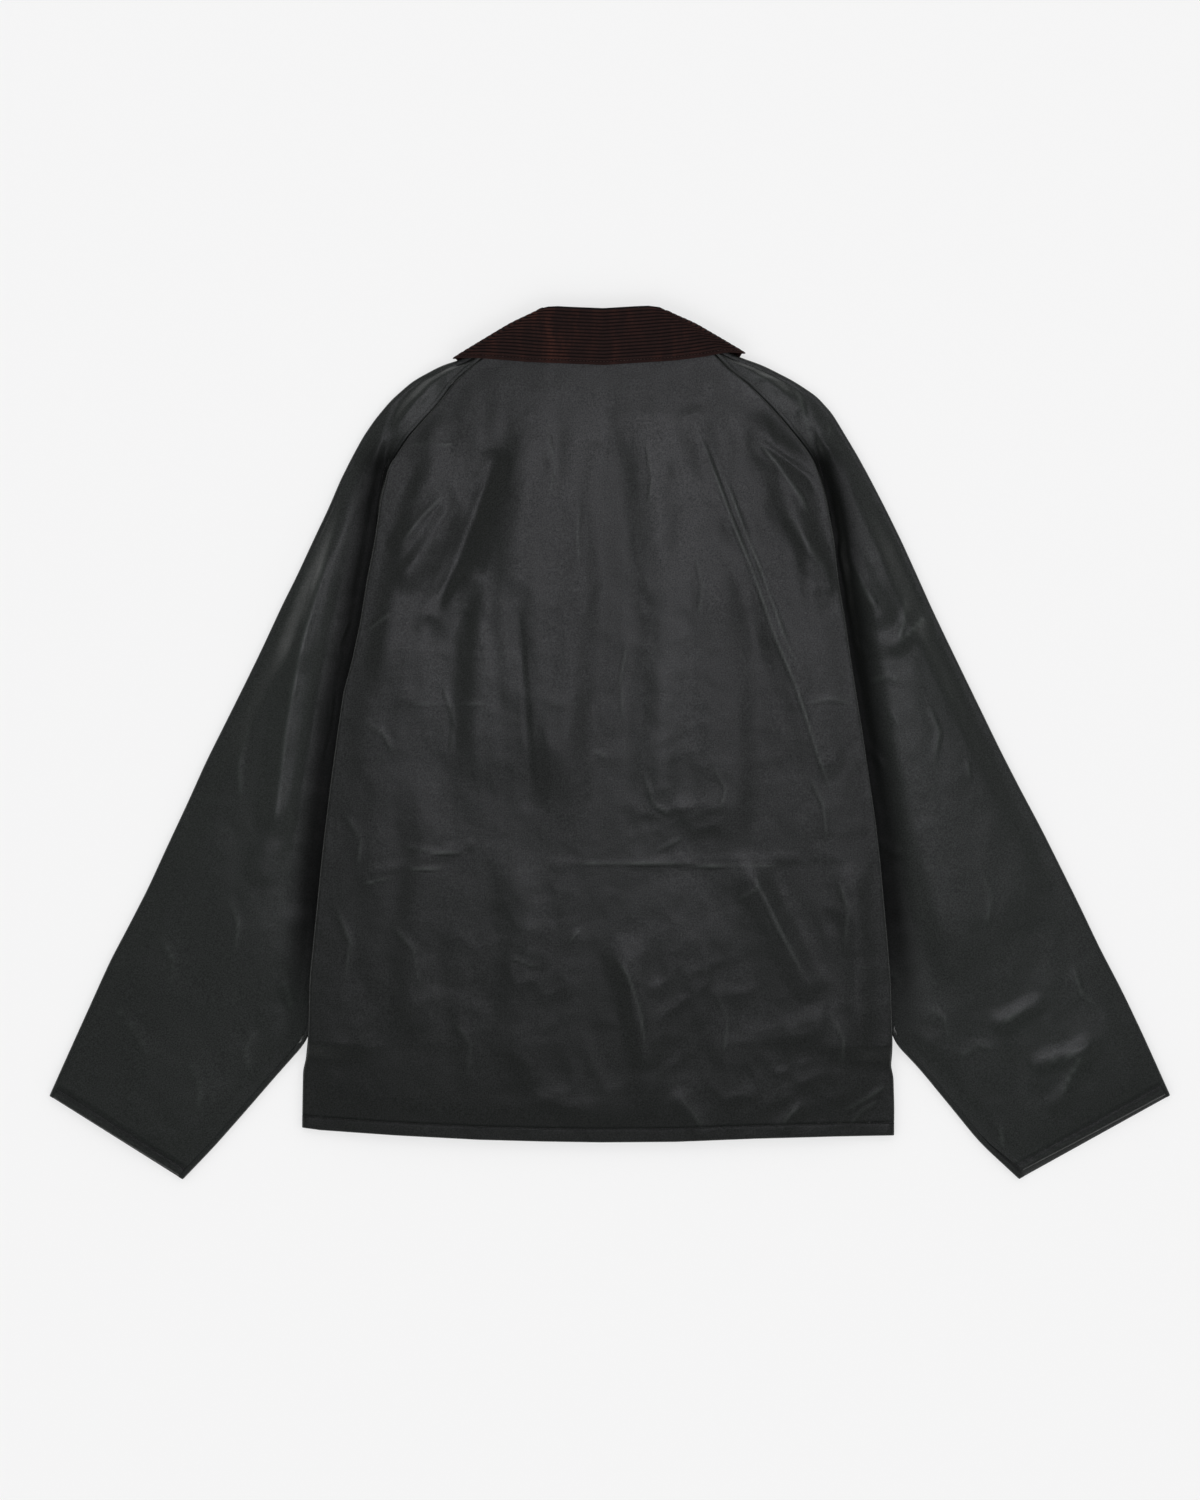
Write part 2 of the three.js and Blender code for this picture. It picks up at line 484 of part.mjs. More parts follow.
// Fractional rows of a sleeve from neck to cuff, with the cuff's stitched turn.
function sleeveRows(table, cuffInset) {
  const last = table.length - 1;
  const end = table[last];
  const before = table[last - 1];
  const length = Math.hypot(end.ox - before.ox, end.oy - before.oy);
  const rows = [];
  for (const index of SLEEVE_ROWS) {
    rows.push({ index, relief: 0 });
  }
  rows.push({ index: last - (cuffInset + CUFF_STITCH + STITCH_STEP) / length, relief: 0 });
  rows.push({ index: last - (cuffInset + CUFF_STITCH) / length, relief: HEM_EXTRA });
  rows.push({ index: last - cuffInset / length, relief: HEM_EXTRA });
  return rows;
}

// Share of a row at which it crosses the body's side fold.
function foldShare(fromX, fromY, toX, toY, side) {
  let share = 0;
  for (let round = 0; round < 8; round += 1) {
    const y = mix(fromY, toY, share);
    share = clamp01((columnAt(BODY, 'y', y, side) - fromX) / (toX - fromX));
  }
  return Math.min(FOLD_SHARE_MAX, Math.max(FOLD_SHARE_MIN, share));
}

// How much longer an inset is along a row than square to the outer edge.
function obliquity(table, index, fromX, fromY, row) {
  const before = rowAt(table, Math.max(0, index - 0.5));
  const after = rowAt(table, Math.min(table.length - 1, index + 0.5));
  const edge = new THREE.Vector2(after.ox - before.ox, after.oy - before.oy).normalize();
  const along = new THREE.Vector2(row.ox - fromX, row.oy - fromY).normalize();
  return 1 / Math.abs(edge.cross(along));
}

const NECK_EASE = 1.6;
const RAMP_EASE = 0.2;
const UPPER_INNER = [0, 0.5];
const UPPER_STEP = 1.6;
const UPPER_FOLD_MAX = 0.7;
const UPPER_END_MIN = 0.4;
const UPPER_OUTER = [0, 0.1, 0.24, 0.4, 0.56, 0.72, 0.86, 1];

function upperSleeveFloor(x, y, share, fold, row, side) {
  const foldX = columnAt(BODY, 'y', y, side);
  const inside = (side === 'left' ? x - foldX : foldX - x);
  const stepWidth = mix(UPPER_STEP, 30, smooth(330, 352, y));
  const inset = bodyInset(x, y);
  const ease = RAMP_EASE * smooth(-FRONT_RAMP - 14, -FRONT_RAMP, inset) * (1 - smooth(0, 8, inset));
  const base = sleeveFrontFloor(x, y) + LAYER + ease;
  const raised = Math.max(0, row.rise - LAYER * overFront(x, y));
  const rise = raised * smooth(-stepWidth, stepWidth, inside) * (1 - smooth(0.55, 1, share));
  const across = clamp01((share - fold) / (1 - fold));
  const full = row.dome * Math.sin(Math.PI * across) * (1 - smooth(-14, 0, inset));
  const free = smooth(0, 0.12, across) * smooth(0, 0.12, 1 - across);
  return base + rise + full + foldHeight(SLEEVE_FOLDS, x, y) * free;
}

function buildSleeveBack(table, side) {
  const sign = side === 'left' ? 1 : -1;
  const grid = sleeveRows(table, CUFF_BACK_INSET[side]).map(({ index, relief }) => {
    const row = rowAt(table, index);
    const width = Math.hypot(row.ox - row.ux, row.oy - row.uy);
    const oblique = obliquity(table, index, row.ux, row.uy, row);
    const neckEase = NECK_EASE * (1 - smooth(1.5, 4.5, index));
    const end = Math.max(UPPER_END_MIN, 1 - (OVERARM_LIP + SEAM_GAP + neckEase) * oblique / width);
    const fold = Math.min(foldShare(row.ux, row.uy, row.ox, row.oy, side), end * UPPER_FOLD_MAX);
    const step = UPPER_STEP / width;
    const shares = UPPER_INNER.map((part) => part * (fold - step));
    shares.push(fold - step);
    for (const part of UPPER_OUTER) {
      shares.push(mix(fold + step, end, part));
    }
    return shares.map((share) => {
      const x = mix(row.ux, row.ox, share);
      const y = mix(row.uy, row.oy, share);
      const z = upperSleeveFloor(x, y, share / end, fold, row, side) + CLOTH / 2;
      return { p: new THREE.Vector3(x, y, z), t: CLOTH, r: relief };
    });
  });
  return wallGeometry(sign > 0 ? grid : grid.reverse());
}

const LOWER_RAMP_INSETS = [-9, 3, 15, 28];
const LOWER_SHARES = [0.3, 0.6, 0.85];
const LOWER_FOLD_MIN = 12;
const LOWER_FOLD_MAX = 0.6;
const LOWER_FULL_WIDTH = 120;

function buildSleeveFront(table, side) {
  const sign = side === 'left' ? 1 : -1;
  const grid = sleeveRows(table, 0).map(({ index }) => {
    const row = rowAt(table, index);
    const width = Math.hypot(row.ox - row.lx, row.oy - row.ly);
    const section = [];
    const place = (inset, lift) => {
      const share = inset / width;
      const x = mix(row.lx, row.ox, share);
      const y = mix(row.ly, row.oy, share);
      const z = sleeveFrontFloor(x, y) + lift;
      section.push({ p: new THREE.Vector3(x, y, z), t: CLOTH, r: 0 });
    };
    const inner = turnedEdge(UNDERARM_LIP, CLOTH / 2 + LAYER, CLOTH / 2);
    const outer = turnedEdge(OVERARM_LIP, CLOTH / 2 + LAYER, CLOTH / 2);
    const oblique = obliquity(table, index, row.lx, row.ly, row);
    const fold = Math.max(foldShare(row.lx, row.ly, row.ox, row.oy, side) * width, LOWER_FOLD_MIN);
    inner.forEach(([inset, lift]) => place(inset, lift));
    const rampEnd = Math.min(fold, width * LOWER_FOLD_MAX);
    LOWER_RAMP_INSETS.forEach((inset) => place(rampEnd + inset * Math.min(1, width / LOWER_FULL_WIDTH), CLOTH / 2));
    LOWER_SHARES.forEach((share) => {
      const from = rampEnd + LOWER_RAMP_INSETS[LOWER_RAMP_INSETS.length - 1] * Math.min(1, width / LOWER_FULL_WIDTH);
      place(mix(from, width, share), CLOTH / 2);
    });
    outer.reverse().forEach(([inset, lift]) => place(width - inset * oblique, lift));
    return section;
  });
  return wallGeometry(sign > 0 ? grid.reverse() : grid);
}

// Front panels.
const FRONT_ROWS = [
  320.5, 312, 304, 296, 288, 274, 258, 240, 220, 198, 188, 150, 100, 50, 0, -50, -100, -150, -200,
  -250, -289, -302, -308, -314, -340,
];
const FRONT_SHARES = [0, 0.1, 0.22, 0.36, 0.5, 0.66, 0.82];
const PLACKET_COLUMNS = {
  left: [PLACKET_HALF + 25, PLACKET_HALF + 14, PLACKET_HALF + 12, 0, -PLACKET_HALF],
  right: [PLACKET_HALF + 22, PLACKET_HALF + 12, PLACKET_HALF + 4, 0, -PLACKET_HALF],
};
const NECK_SHARES = [0.25, 0.5, 0.7, 0.85, 1];

// Edges of the left front across from the centre front; the right front mirrors the raglan edge.
function frontLimits(rowY, side) {
  const sign = side === 'left' ? -1 : 1;
  const raglan = CENTRE_FRONT + sign * columnAt(FRONT_RAGLAN, 'y', rowY, 'across');
  const fold = columnAt(BODY, 'y', rowY, side) - sign * FRONT_INSET;
  const outer = mix(fold, raglan, smooth(FRONT_SIDE_TOP, FRONT_SIDE_TOP + 8, rowY));
  const columns = PLACKET_COLUMNS[side].map((across) => CENTRE_FRONT + sign * across);
  if (rowY > FRONT_NECK[0].y) {
    const neck = CENTRE_FRONT + sign * columnAt(FRONT_NECK, 'y', rowY, 'across');
    const from = mix(outer, neck, 0.4);
    return { outer, centre: from, columns: NECK_SHARES.map((share) => mix(from, neck, share)) };
  }
  return { outer, centre: columns[0], columns };
}

function frontSection(rowY, side, relief) {
  const { outer, centre, columns } = frontLimits(rowY, side);
  return [...FRONT_SHARES.map((share) => mix(outer, centre, share)), ...columns].map((x) => {
    const y = bodyY(x, rowY) + FRONT_HEM_SHORT * smooth(HEM_BLEND_START, HEM_NOMINAL, rowY);
    const placket = side === 'left' ? smooth(-PLACKET_HALF - 14, -PLACKET_HALF - 12, x - CENTRE_FRONT) : 0;
    const over = side === 'left' ? 0 : 1 - smooth(PLACKET_HALF + 4, PLACKET_HALF + 22, x - CENTRE_FRONT);
    const t = mix(CLOTH, PLACKET_CLOTH, placket);
    const z = leafLift(x, y) + (PLACKET_LIFT + NECK_LAP_EASE * smooth(258, 288, y)) * over + t / 2;
    return { p: new THREE.Vector3(x, y, z), t, r: relief };
  });
}

function buildFront(side) {
  const grid = FRONT_ROWS.map((rowY) => frontSection(rowY, side, 0));
  grid.push(frontSection(HEM_NOMINAL + HEM_STITCH + STITCH_STEP, side, 0));
  grid.push(frontSection(HEM_NOMINAL + HEM_STITCH, side, 0.3));
  grid.push(frontSection(HEM_NOMINAL, side, 0.3));
  return wallGeometry(side === 'left' ? grid.reverse() : grid);
}

// Collar sections: fall edge, fall with its wales, roll, stand, neck seam.
function collarSection(row, standEnd) {
  const toRoll = new THREE.Vector2(row.rx - row.fx, row.ry - row.fy).normalize();
  const angle = THREE.MathUtils.degToRad(row.turn);
  const sideways = Math.abs(row.turn) < 90 ? 1 : 0;
  const section = [];
  const place = (x, y, radius, share, relief, shift) => {
    const outX = mix(Math.sign(row.ox), row.ox, share);
    const outY = mix(0, row.oy, share);
    const scale = sideways * Math.cos(angle) * radius / (Math.hypot(outX, outY) || 1);
    section.push({
      p: new THREE.Vector3(
        x + outX * scale,
        y + outY * scale,
        COLLAR_MIDDLE + Math.sin(angle) * radius + shift,
      ),
      t: COLLAR_CLOTH,
      r: relief,
    });
  };
  const onTop = smooth(-80, -20, row.turn);
  for (let i = 0; i <= 2 * WALES; i += 1) {
    const share = i / (2 * WALES);
    const rimmed = i < WALE_RIM ? 0 : 1;
    const relief = i % 2 === 1 ? WALE_HEIGHT * onTop * rimmed : 0;
    place(mix(row.fx, row.rx, share), mix(row.fy, row.ry, share), COLLAR_HALF_STACK, share, relief, 0);
  }
  for (let step = 1; step < TURN_STEPS; step += 1) {
    const bend = Math.PI * step / TURN_STEPS;
    const reach = ROLL_RADIUS * Math.sin(bend);
    const radius = COLLAR_HALF_STACK - ROLL_RADIUS * (1 - Math.cos(bend));
    place(row.rx + toRoll.x * reach, row.ry + toRoll.y * reach, radius, 1, 0, 0);
  }
  for (const share of STAND_SHARES) {
    const shift = standEnd * share * share;
    place(mix(row.rx, row.sx, share), mix(row.ry, row.sy, share), STAND_HALF_STACK, 1, 0, shift);
  }
  return section;
}
const STAND_SHARES = [0, 0.5, 1];

function buildCollar() {
  const last = COLLAR_LEFT.length - 1;
  const left = COLLAR_LEFT.map((row, i) => collarSection(row, i === last ? STAND_END_LEFT : 0));
  const end = COLLAR_RIGHT.length - 1;
  const right = COLLAR_RIGHT.map((row, i) => collarSection(row, i === end ? STAND_END_RIGHT : 0));
  return wallGeometry([...left.reverse(), ...right].reverse());
}

function studPositions() {
  return Array.from({ length: STUD.count }, (unused, i) => STUD.first - i * STUD.pitch);
}

function buildStud(y) {
  const topStart = PLACKET_LIFT + CLOTH + SEAM_GAP;
  const profile = [
    [0, 0],
    [STUD.capRadius, 0],
    [STUD.capRadius, STUD.capHeight],
    [STUD.postRadius, STUD.capHeight],
    [STUD.postRadius, topStart],
    [STUD.topRadius, topStart],
    [STUD.topRadius, topStart + STUD.topHeight],
    [0, topStart + STUD.topHeight],
  ].map(([radius, height]) => new THREE.Vector2(radius, height));
  const geometry = new THREE.LatheGeometry(profile, STUD.sides);
  geometry.rotateX(Math.PI / 2);
  geometry.translate(CENTRE_FRONT, y, 0);
  return geometry;
}

const wasm = await Module();
wasm.setup();

function toManifold(geometry) {
  const mesh = new wasm.Mesh({
    numProp: 3,
    vertProperties: Float32Array.from(geometry.attributes.position.array),
    triVerts: Uint32Array.from(geometry.index.array),
  });
  mesh.merge();
  return new wasm.Manifold(mesh);
}

function fromManifold(solid) {
  const mesh = solid.getMesh();
  const geometry = new THREE.BufferGeometry();
  geometry.setAttribute('position', new THREE.Float32BufferAttribute(mesh.vertProperties, 3));
  geometry.setIndex(Array.from(mesh.triVerts));
  return geometry;
}

// Drum along Z used to cut stud holes.
function drum(radius, from, to, y) {
  const geometry = new THREE.CylinderGeometry(radius, radius, to - from, STUD.sides);
  geometry.rotateX(Math.PI / 2);
  geometry.translate(CENTRE_FRONT, y, (from + to) / 2);
  return toManifold(geometry);
}

function withStudHoles(geometry, side) {
  let solid = toManifold(geometry);
  for (const y of studPositions()) {
    solid = solid.subtract(drum(STUD.postRadius + STUD.clearance, -5, 12, y));
    if (side === 'left') {
      solid = solid.subtract(drum(STUD.capRadius + STUD.clearance, -5, STUD.capHeight + STUD.clearance, y));
    }
  }
  return fromManifold(solid);
}

const jacket = new THREE.Group();
jacket.name = 'waxed_cotton_jacket';

function addPiece(name, geometry, look) {
  geometry.translate(-CENTRE_X, -CENTRE_Y, 0);
  const mesh = new THREE.Mesh(geometry, new THREE.MeshStandardMaterial(look));
  mesh.name = name;
  jacket.add(mesh);
}

addPiece('back', buildBack(), COLOURS.waxedCotton);
addPiece('front_left', withStudHoles(buildFront('left'), 'left'), COLOURS.waxedCotton);
addPiece('front_right', withStudHoles(buildFront('right'), 'right'), COLOURS.waxedCotton);
addPiece('sleeve_left_back', buildSleeveBack(SLEEVE_LEFT, 'left'), COLOURS.waxedCottonSleeve);
addPiece('sleeve_left_front', buildSleeveFront(SLEEVE_LEFT, 'left'), COLOURS.waxedCottonSleeve);
addPiece('sleeve_right_back', buildSleeveBack(SLEEVE_RIGHT, 'right'), COLOURS.waxedCottonSleeve);
addPiece('sleeve_right_front', buildSleeveFront(SLEEVE_RIGHT, 'right'), COLOURS.waxedCottonSleeve);
addPiece('collar', buildCollar(), COLOURS.corduroy);
studPositions().forEach((y, i) => addPiece(`press_stud_${i + 1}`, buildStud(y), COLOURS.pressStud));

export default jacket;
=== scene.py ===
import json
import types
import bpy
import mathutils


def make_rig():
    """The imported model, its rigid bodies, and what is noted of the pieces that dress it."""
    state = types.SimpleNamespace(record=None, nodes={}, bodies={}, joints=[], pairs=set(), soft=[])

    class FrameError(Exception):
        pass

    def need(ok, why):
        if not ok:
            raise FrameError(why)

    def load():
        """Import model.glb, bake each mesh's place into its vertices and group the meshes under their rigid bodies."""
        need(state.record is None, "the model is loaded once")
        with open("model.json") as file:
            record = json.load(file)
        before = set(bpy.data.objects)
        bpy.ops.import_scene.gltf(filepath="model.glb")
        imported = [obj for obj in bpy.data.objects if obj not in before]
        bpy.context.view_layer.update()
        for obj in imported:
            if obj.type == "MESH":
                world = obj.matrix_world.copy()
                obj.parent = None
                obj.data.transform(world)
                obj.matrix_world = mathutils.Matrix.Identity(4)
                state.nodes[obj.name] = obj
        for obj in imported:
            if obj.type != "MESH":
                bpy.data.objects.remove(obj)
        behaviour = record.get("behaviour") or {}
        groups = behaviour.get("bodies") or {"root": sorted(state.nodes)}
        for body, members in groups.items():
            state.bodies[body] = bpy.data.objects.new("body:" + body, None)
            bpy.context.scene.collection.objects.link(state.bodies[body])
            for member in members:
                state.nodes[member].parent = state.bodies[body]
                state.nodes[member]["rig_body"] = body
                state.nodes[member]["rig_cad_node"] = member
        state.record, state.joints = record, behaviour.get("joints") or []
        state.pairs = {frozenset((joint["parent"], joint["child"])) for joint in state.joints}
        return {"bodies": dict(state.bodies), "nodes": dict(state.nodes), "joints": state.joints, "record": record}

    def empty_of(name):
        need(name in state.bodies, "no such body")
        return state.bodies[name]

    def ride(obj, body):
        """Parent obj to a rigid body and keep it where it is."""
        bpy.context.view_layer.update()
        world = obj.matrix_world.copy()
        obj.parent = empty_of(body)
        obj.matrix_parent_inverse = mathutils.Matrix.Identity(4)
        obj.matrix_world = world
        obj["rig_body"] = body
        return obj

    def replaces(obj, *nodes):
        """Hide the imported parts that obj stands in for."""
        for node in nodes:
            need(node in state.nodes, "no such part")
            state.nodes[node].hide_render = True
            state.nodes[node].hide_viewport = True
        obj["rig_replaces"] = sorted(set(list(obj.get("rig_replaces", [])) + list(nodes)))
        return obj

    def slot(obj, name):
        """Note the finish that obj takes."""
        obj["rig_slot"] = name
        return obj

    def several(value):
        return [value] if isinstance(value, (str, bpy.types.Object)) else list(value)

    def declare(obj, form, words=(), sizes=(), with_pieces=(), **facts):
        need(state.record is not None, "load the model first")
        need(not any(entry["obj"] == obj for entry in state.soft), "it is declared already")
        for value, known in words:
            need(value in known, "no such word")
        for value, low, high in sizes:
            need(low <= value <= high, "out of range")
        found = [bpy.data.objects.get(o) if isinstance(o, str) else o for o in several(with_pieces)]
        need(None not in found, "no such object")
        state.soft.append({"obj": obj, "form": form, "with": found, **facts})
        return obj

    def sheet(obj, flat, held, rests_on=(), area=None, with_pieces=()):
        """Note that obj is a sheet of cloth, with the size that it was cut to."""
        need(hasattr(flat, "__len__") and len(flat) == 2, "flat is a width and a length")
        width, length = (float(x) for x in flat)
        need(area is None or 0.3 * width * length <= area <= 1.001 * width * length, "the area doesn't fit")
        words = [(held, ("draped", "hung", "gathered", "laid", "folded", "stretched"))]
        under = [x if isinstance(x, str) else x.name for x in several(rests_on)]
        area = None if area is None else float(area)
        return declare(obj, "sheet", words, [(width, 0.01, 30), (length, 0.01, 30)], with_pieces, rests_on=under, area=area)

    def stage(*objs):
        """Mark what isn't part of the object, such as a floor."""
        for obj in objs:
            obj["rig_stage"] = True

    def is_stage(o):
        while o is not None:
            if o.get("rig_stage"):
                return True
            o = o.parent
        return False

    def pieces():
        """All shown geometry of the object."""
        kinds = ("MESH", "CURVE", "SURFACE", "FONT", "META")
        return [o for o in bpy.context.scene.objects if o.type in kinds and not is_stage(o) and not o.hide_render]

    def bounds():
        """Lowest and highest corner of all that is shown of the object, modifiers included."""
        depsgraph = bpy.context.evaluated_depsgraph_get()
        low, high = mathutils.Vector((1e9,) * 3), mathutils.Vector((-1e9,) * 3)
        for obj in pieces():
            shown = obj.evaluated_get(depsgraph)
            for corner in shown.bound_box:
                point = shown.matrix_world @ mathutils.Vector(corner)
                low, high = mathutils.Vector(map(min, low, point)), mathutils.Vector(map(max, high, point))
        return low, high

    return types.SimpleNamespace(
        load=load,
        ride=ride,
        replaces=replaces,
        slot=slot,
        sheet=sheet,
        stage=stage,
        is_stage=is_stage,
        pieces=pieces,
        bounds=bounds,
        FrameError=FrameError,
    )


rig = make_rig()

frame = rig.load()

import json
import math

import bpy
import numpy as np
from mathutils import Vector

CAD_BOUNDS = [list(corner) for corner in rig.bounds()]

# Waxed cotton jacket laid flat, face down. Sizes are in millimetres until a mesh is made.
MM = 0.001
SHIFT = (0.2, 0.25, 0.0)
CLOTH = 1.2
SEAM_GAP = 0.3
LAYER = CLOTH + SEAM_GAP
HEM_EXTRA = 0.5
HEM_STITCH = 12
CUFF_STITCH = 9.5
SEAM_STITCH = 4.5
BAND_STITCH = 13
CLOSURE_STITCH = 6


def table(names, *rows):
    """Named columns of a short table."""
    columns = np.array(rows, dtype=float).T
    return dict(zip(names.split(), columns))


BODY = table(
    "y left right tuck edge middle",
    (374, -176, 168, 5, 4.9, 4.9),
    (350, -188, 174, 5, 4.9, 4.9),
    (339, -191, 174.5, 5, 4.8, 5),
    (312, -199, 178.5, 5, 4.6, 5.7),
    (288, -205, 186.3, 5, 5.1, 5.8),
    (272, -208.3, 192, 5, 5.9, 5.2),
    (262, -210, 195.5, 5, 6, 5),
    (230, -218, 205.5, 8, 6, 4.5),
    (194, -223, 212.5, 13, 6, 4.5),
    (153, -231, 217, 18, 6, 4.5),
    (115, -237, 223.5, 22, 6, 4.5),
    (77, -245, 229, 26, 6, 4.5),
    (48, -253, 233.5, 29, 6, 4.5),
    (14, -258, 239, 32, 6, 4.5),
    (-37, -265, 246.5, 36, 6, 4.5),
    (-78, -270, 252.5, 38, 6, 4.5),
    (-113, -274, 256.5, 33, 6, 4.5),
    (-184, -281, 263, 22, 6, 4.5),
    (-225, -285, 266.3, 15, 6, 4.5),
    (-281, -286.4, 268, 10, 6, 4.5),
    (-289, -287, 268, 10, 6, 4.4),
    (-302, -288.6, 267.6, 10, 3, 4.3),
    (-308, -288.8, 266, 10, 2.5, 4.2),
    (-314, -291.4, 269, 10, 2.3, 4.2),
    (-345, -292, 270, 10, 2, 4),
    (-373, -292.4, 269.8, 10, 2, 3.8),
)
FOLD_START = 262
TUCK_DROP = (-289, -301)
MIDDLE_BLEND = 75

RAGLAN = table(
    "y left right",
    (372, -112.5, 96),
    (364, -122, 103),
    (354, -134, 112),
    (342, -148, 129),
    (324, -161, 147.5),
    (307, -176, 163),
    (289, -192, 178),
    (273, -202, 190),
    (262, -210, 195.5),
)

HEM = table(
    "x y",
    (-293, -365.5),
    (-275, -368),
    (-201, -373),
    (-125, -377),
    (-66, -378.6),
    (-9, -379.5),
    (62, -379),
    (138, -376),
    (213, -374),
    (271, -373),
)
HEM_NOMINAL = -373
HEM_BLEND_START = -150

SLEEVE_LEFT = table(
    "ux uy lx ly ox oy dome rise",
    (-115, 370.6, -95, 320.5, -126.2, 372.8, 0, 1.7),
    (-123.8, 363.2, -99, 316, -140, 364, 0.1, 1.7),
    (-135.6, 353.3, -105, 310, -160, 357.7, 0.3, 1.7),
    (-149.4, 341.3, -113, 302.5, -187, 343.5, 0.6, 1.9),
    (-162, 323.5, -125, 290.5, -208, 325, 0.8, 2.5),
    (-177, 306.5, -137, 277.5, -223, 307, 1, 2.7),
    (-193, 289, -150, 262, -234, 291, 1.2, 2.6),
    (-203, 272.5, -163, 245.5, -245, 271, 1.4, 2),
    (-211, 258.5, -177, 228, -256.5, 248, 1.6, 1.5),
    (-216, 228, -189, 211.5, -267, 223, 1.8, 1.5),
    (-219.3, 190, -200, 195, -282, 191.5, 1.9, 0),
    (-221.3, 150, -212, 166, -297, 159, 2, 0),
    (-224.3, 110, -219, 110, -312, 129, 2, 0),
    (-227.2, 66, -222, 65, -330, 90, 2, 0),
    (-231.1, 21.3, -226, 20, -348, 53, 2, 0),
    (-235, -28.3, -230, -30, -366, 17, 2, 0),
    (-237.9, -76, -233, -78, -384, -19, 2, 0),
    (-250.8, -127.7, -246, -130, -401, -57, 2, 0),
    (-264.6, -182.5, -260, -185, -420, -97.5, 2, 0),
    (-277.6, -232.3, -273, -235, -439, -139, 2, 0),
    (-291, -279.6, -286.5, -282.5, -457.5, -175, 2, 0),
    (-321, -313.1, -316.5, -316, -474.5, -207, 1.9, 0),
    (-349.4, -346, -345, -349, -493, -248, 1.8, 0),
    (-379.4, -380, -375, -383, -512, -290, 1.6, 0),
    (-409.8, -411.5, -405.7, -415, -532.4, -335.5, 1.4, 0),
)
SLEEVE_RIGHT = table(
    "ux uy lx ly ox oy dome rise",
    (98.3, 370.6, 75, 320.5, 107.8, 372.8, 0, 1.7),
    (104.8, 363.2, 79, 316, 119.5, 367, 0.1, 1.7),
    (113.9, 353.2, 85, 310, 146, 357.6, 0.3, 1.7),
    (130.5, 341.2, 93, 302.5, 174, 343.5, 0.6, 1.9),
    (148.5, 323.5, 105, 290.5, 196, 329, 0.8, 2.5),
    (164, 306.5, 117, 277.5, 211, 312.5, 1, 2.7),
    (179, 289, 130, 262, 223.6, 291.6, 1.2, 2.6),
    (191, 272.5, 143, 245.5, 236, 270.7, 1.4, 2),
    (196.5, 258.5, 157, 228, 247, 250.5, 1.6, 1.5),
    (202, 228, 170, 211.5, 261, 223.5, 1.8, 1.5),
    (205.3, 190, 182, 195, 277, 191, 1.9, 0),
    (207.3, 150, 195, 166, 291, 160, 2, 0),
    (208.3, 110.5, 203, 110, 306, 126.5, 2, 0),
    (211.2, 66, 206, 65, 322, 93, 2, 0),
    (214.1, 21.3, 209, 20, 338, 60, 2, 0),
    (217, -28.5, 212, -30, 354, 27, 2, 0),
    (219.9, -76, 215, -78, 371, -8, 2, 0),
    (232.8, -127.7, 228, -130, 390, -45, 2, 0),
    (246.6, -182.5, 242, -185, 409, -80.5, 2, 0),
    (260.6, -232.3, 256, -235, 428, -118.5, 2, 0),
    (273.4, -281.3, 269, -284, 447, -157, 2, 0),
    (297.3, -306.3, 293, -309, 465, -195, 1.9, 0),
    (325.4, -340, 321, -343, 486, -235, 1.8, 0),
    (355.4, -377, 351, -380, 506, -277, 1.6, 0),
    (393.8, -407.5, 388.4, -414.6, 532, -335, 1.4, 0),
)
OVERARM_LIP = 4
UNDERARM_LIP = 5
CUFF_BACK_INSET = {"left": 0.4, "right": 2.6}

CENTRE_FRONT = -9.5
FRONT_RAGLAN = table(
    "y across",
    (320.5, 83.5),
    (310, 94),
    (302.5, 102),
    (290.5, 114),
    (277.5, 126),
    (262, 139),
    (245.5, 152),
    (228, 166),
    (211.5, 178),
    (198, 187.5),
)
FRONT_NECK = table("across y", (-15, 288), (42, 304), (61, 312), (80, 320.5))
FRONT_INSET = 13
FRONT_SIDE_TOP = 190
FRONT_RAMP = 26
FRONT_HEM_SHORT = 1.5
PLACKET_HALF = 15
PLACKET_CLOTH = 1.8
PLACKET_LIFT = PLACKET_CLOTH + SEAM_GAP
NECK_LAP_EASE = 0.8

STUD_FIRST = 246
STUD_PITCH = 126
STUD_COUNT = 5
STUD_CAP = 7.5
STUD_CAP_HEIGHT = 0.8
STUD_POST = 2.6
STUD_TOP = 6
STUD_TOP_HEIGHT = 0.6
STUD_CLEARANCE = 0.3
STUD_SIDES = 56

COLLAR_LEFT = table(
    "rx ry fx fy sx sy turn ox oy",
    (-6.7, 410.4, -6, 358, -8, 372.6, 90, 0, 1),
    (-37, 411.8, -78, 360.8, -68, 372.6, 90, 0, 1),
    (-50, 412.6, -108, 363.4, -96, 372.8, 90, 0, 1),
    (-59, 412.3, -130, 364.7, -113, 374.2, 90, 0, 1),
    (-64.4, 411.1, -146, 364.3, -126.5, 377.6, 90, -0.517, 0.856),
    (-64.4, 411.1, -146, 364.3, -126.5, 377.6, 0, -0.517, 0.856),
    (-64.4, 411.1, -146, 364.3, -126.5, 377.6, -90, -0.517, 0.856),
    (-53, 390, -126, 341, -109, 350.5, -90, 0, 1),
    (-38, 366, -105, 316, -92, 323.5, -90, 0, 1),
    (-24, 347, -84, 291, -52, 305.4, -90, 0, 1),
    (-11.8, 334, -63, 267, -11.8, 293.5, -90, 0, 1),
)
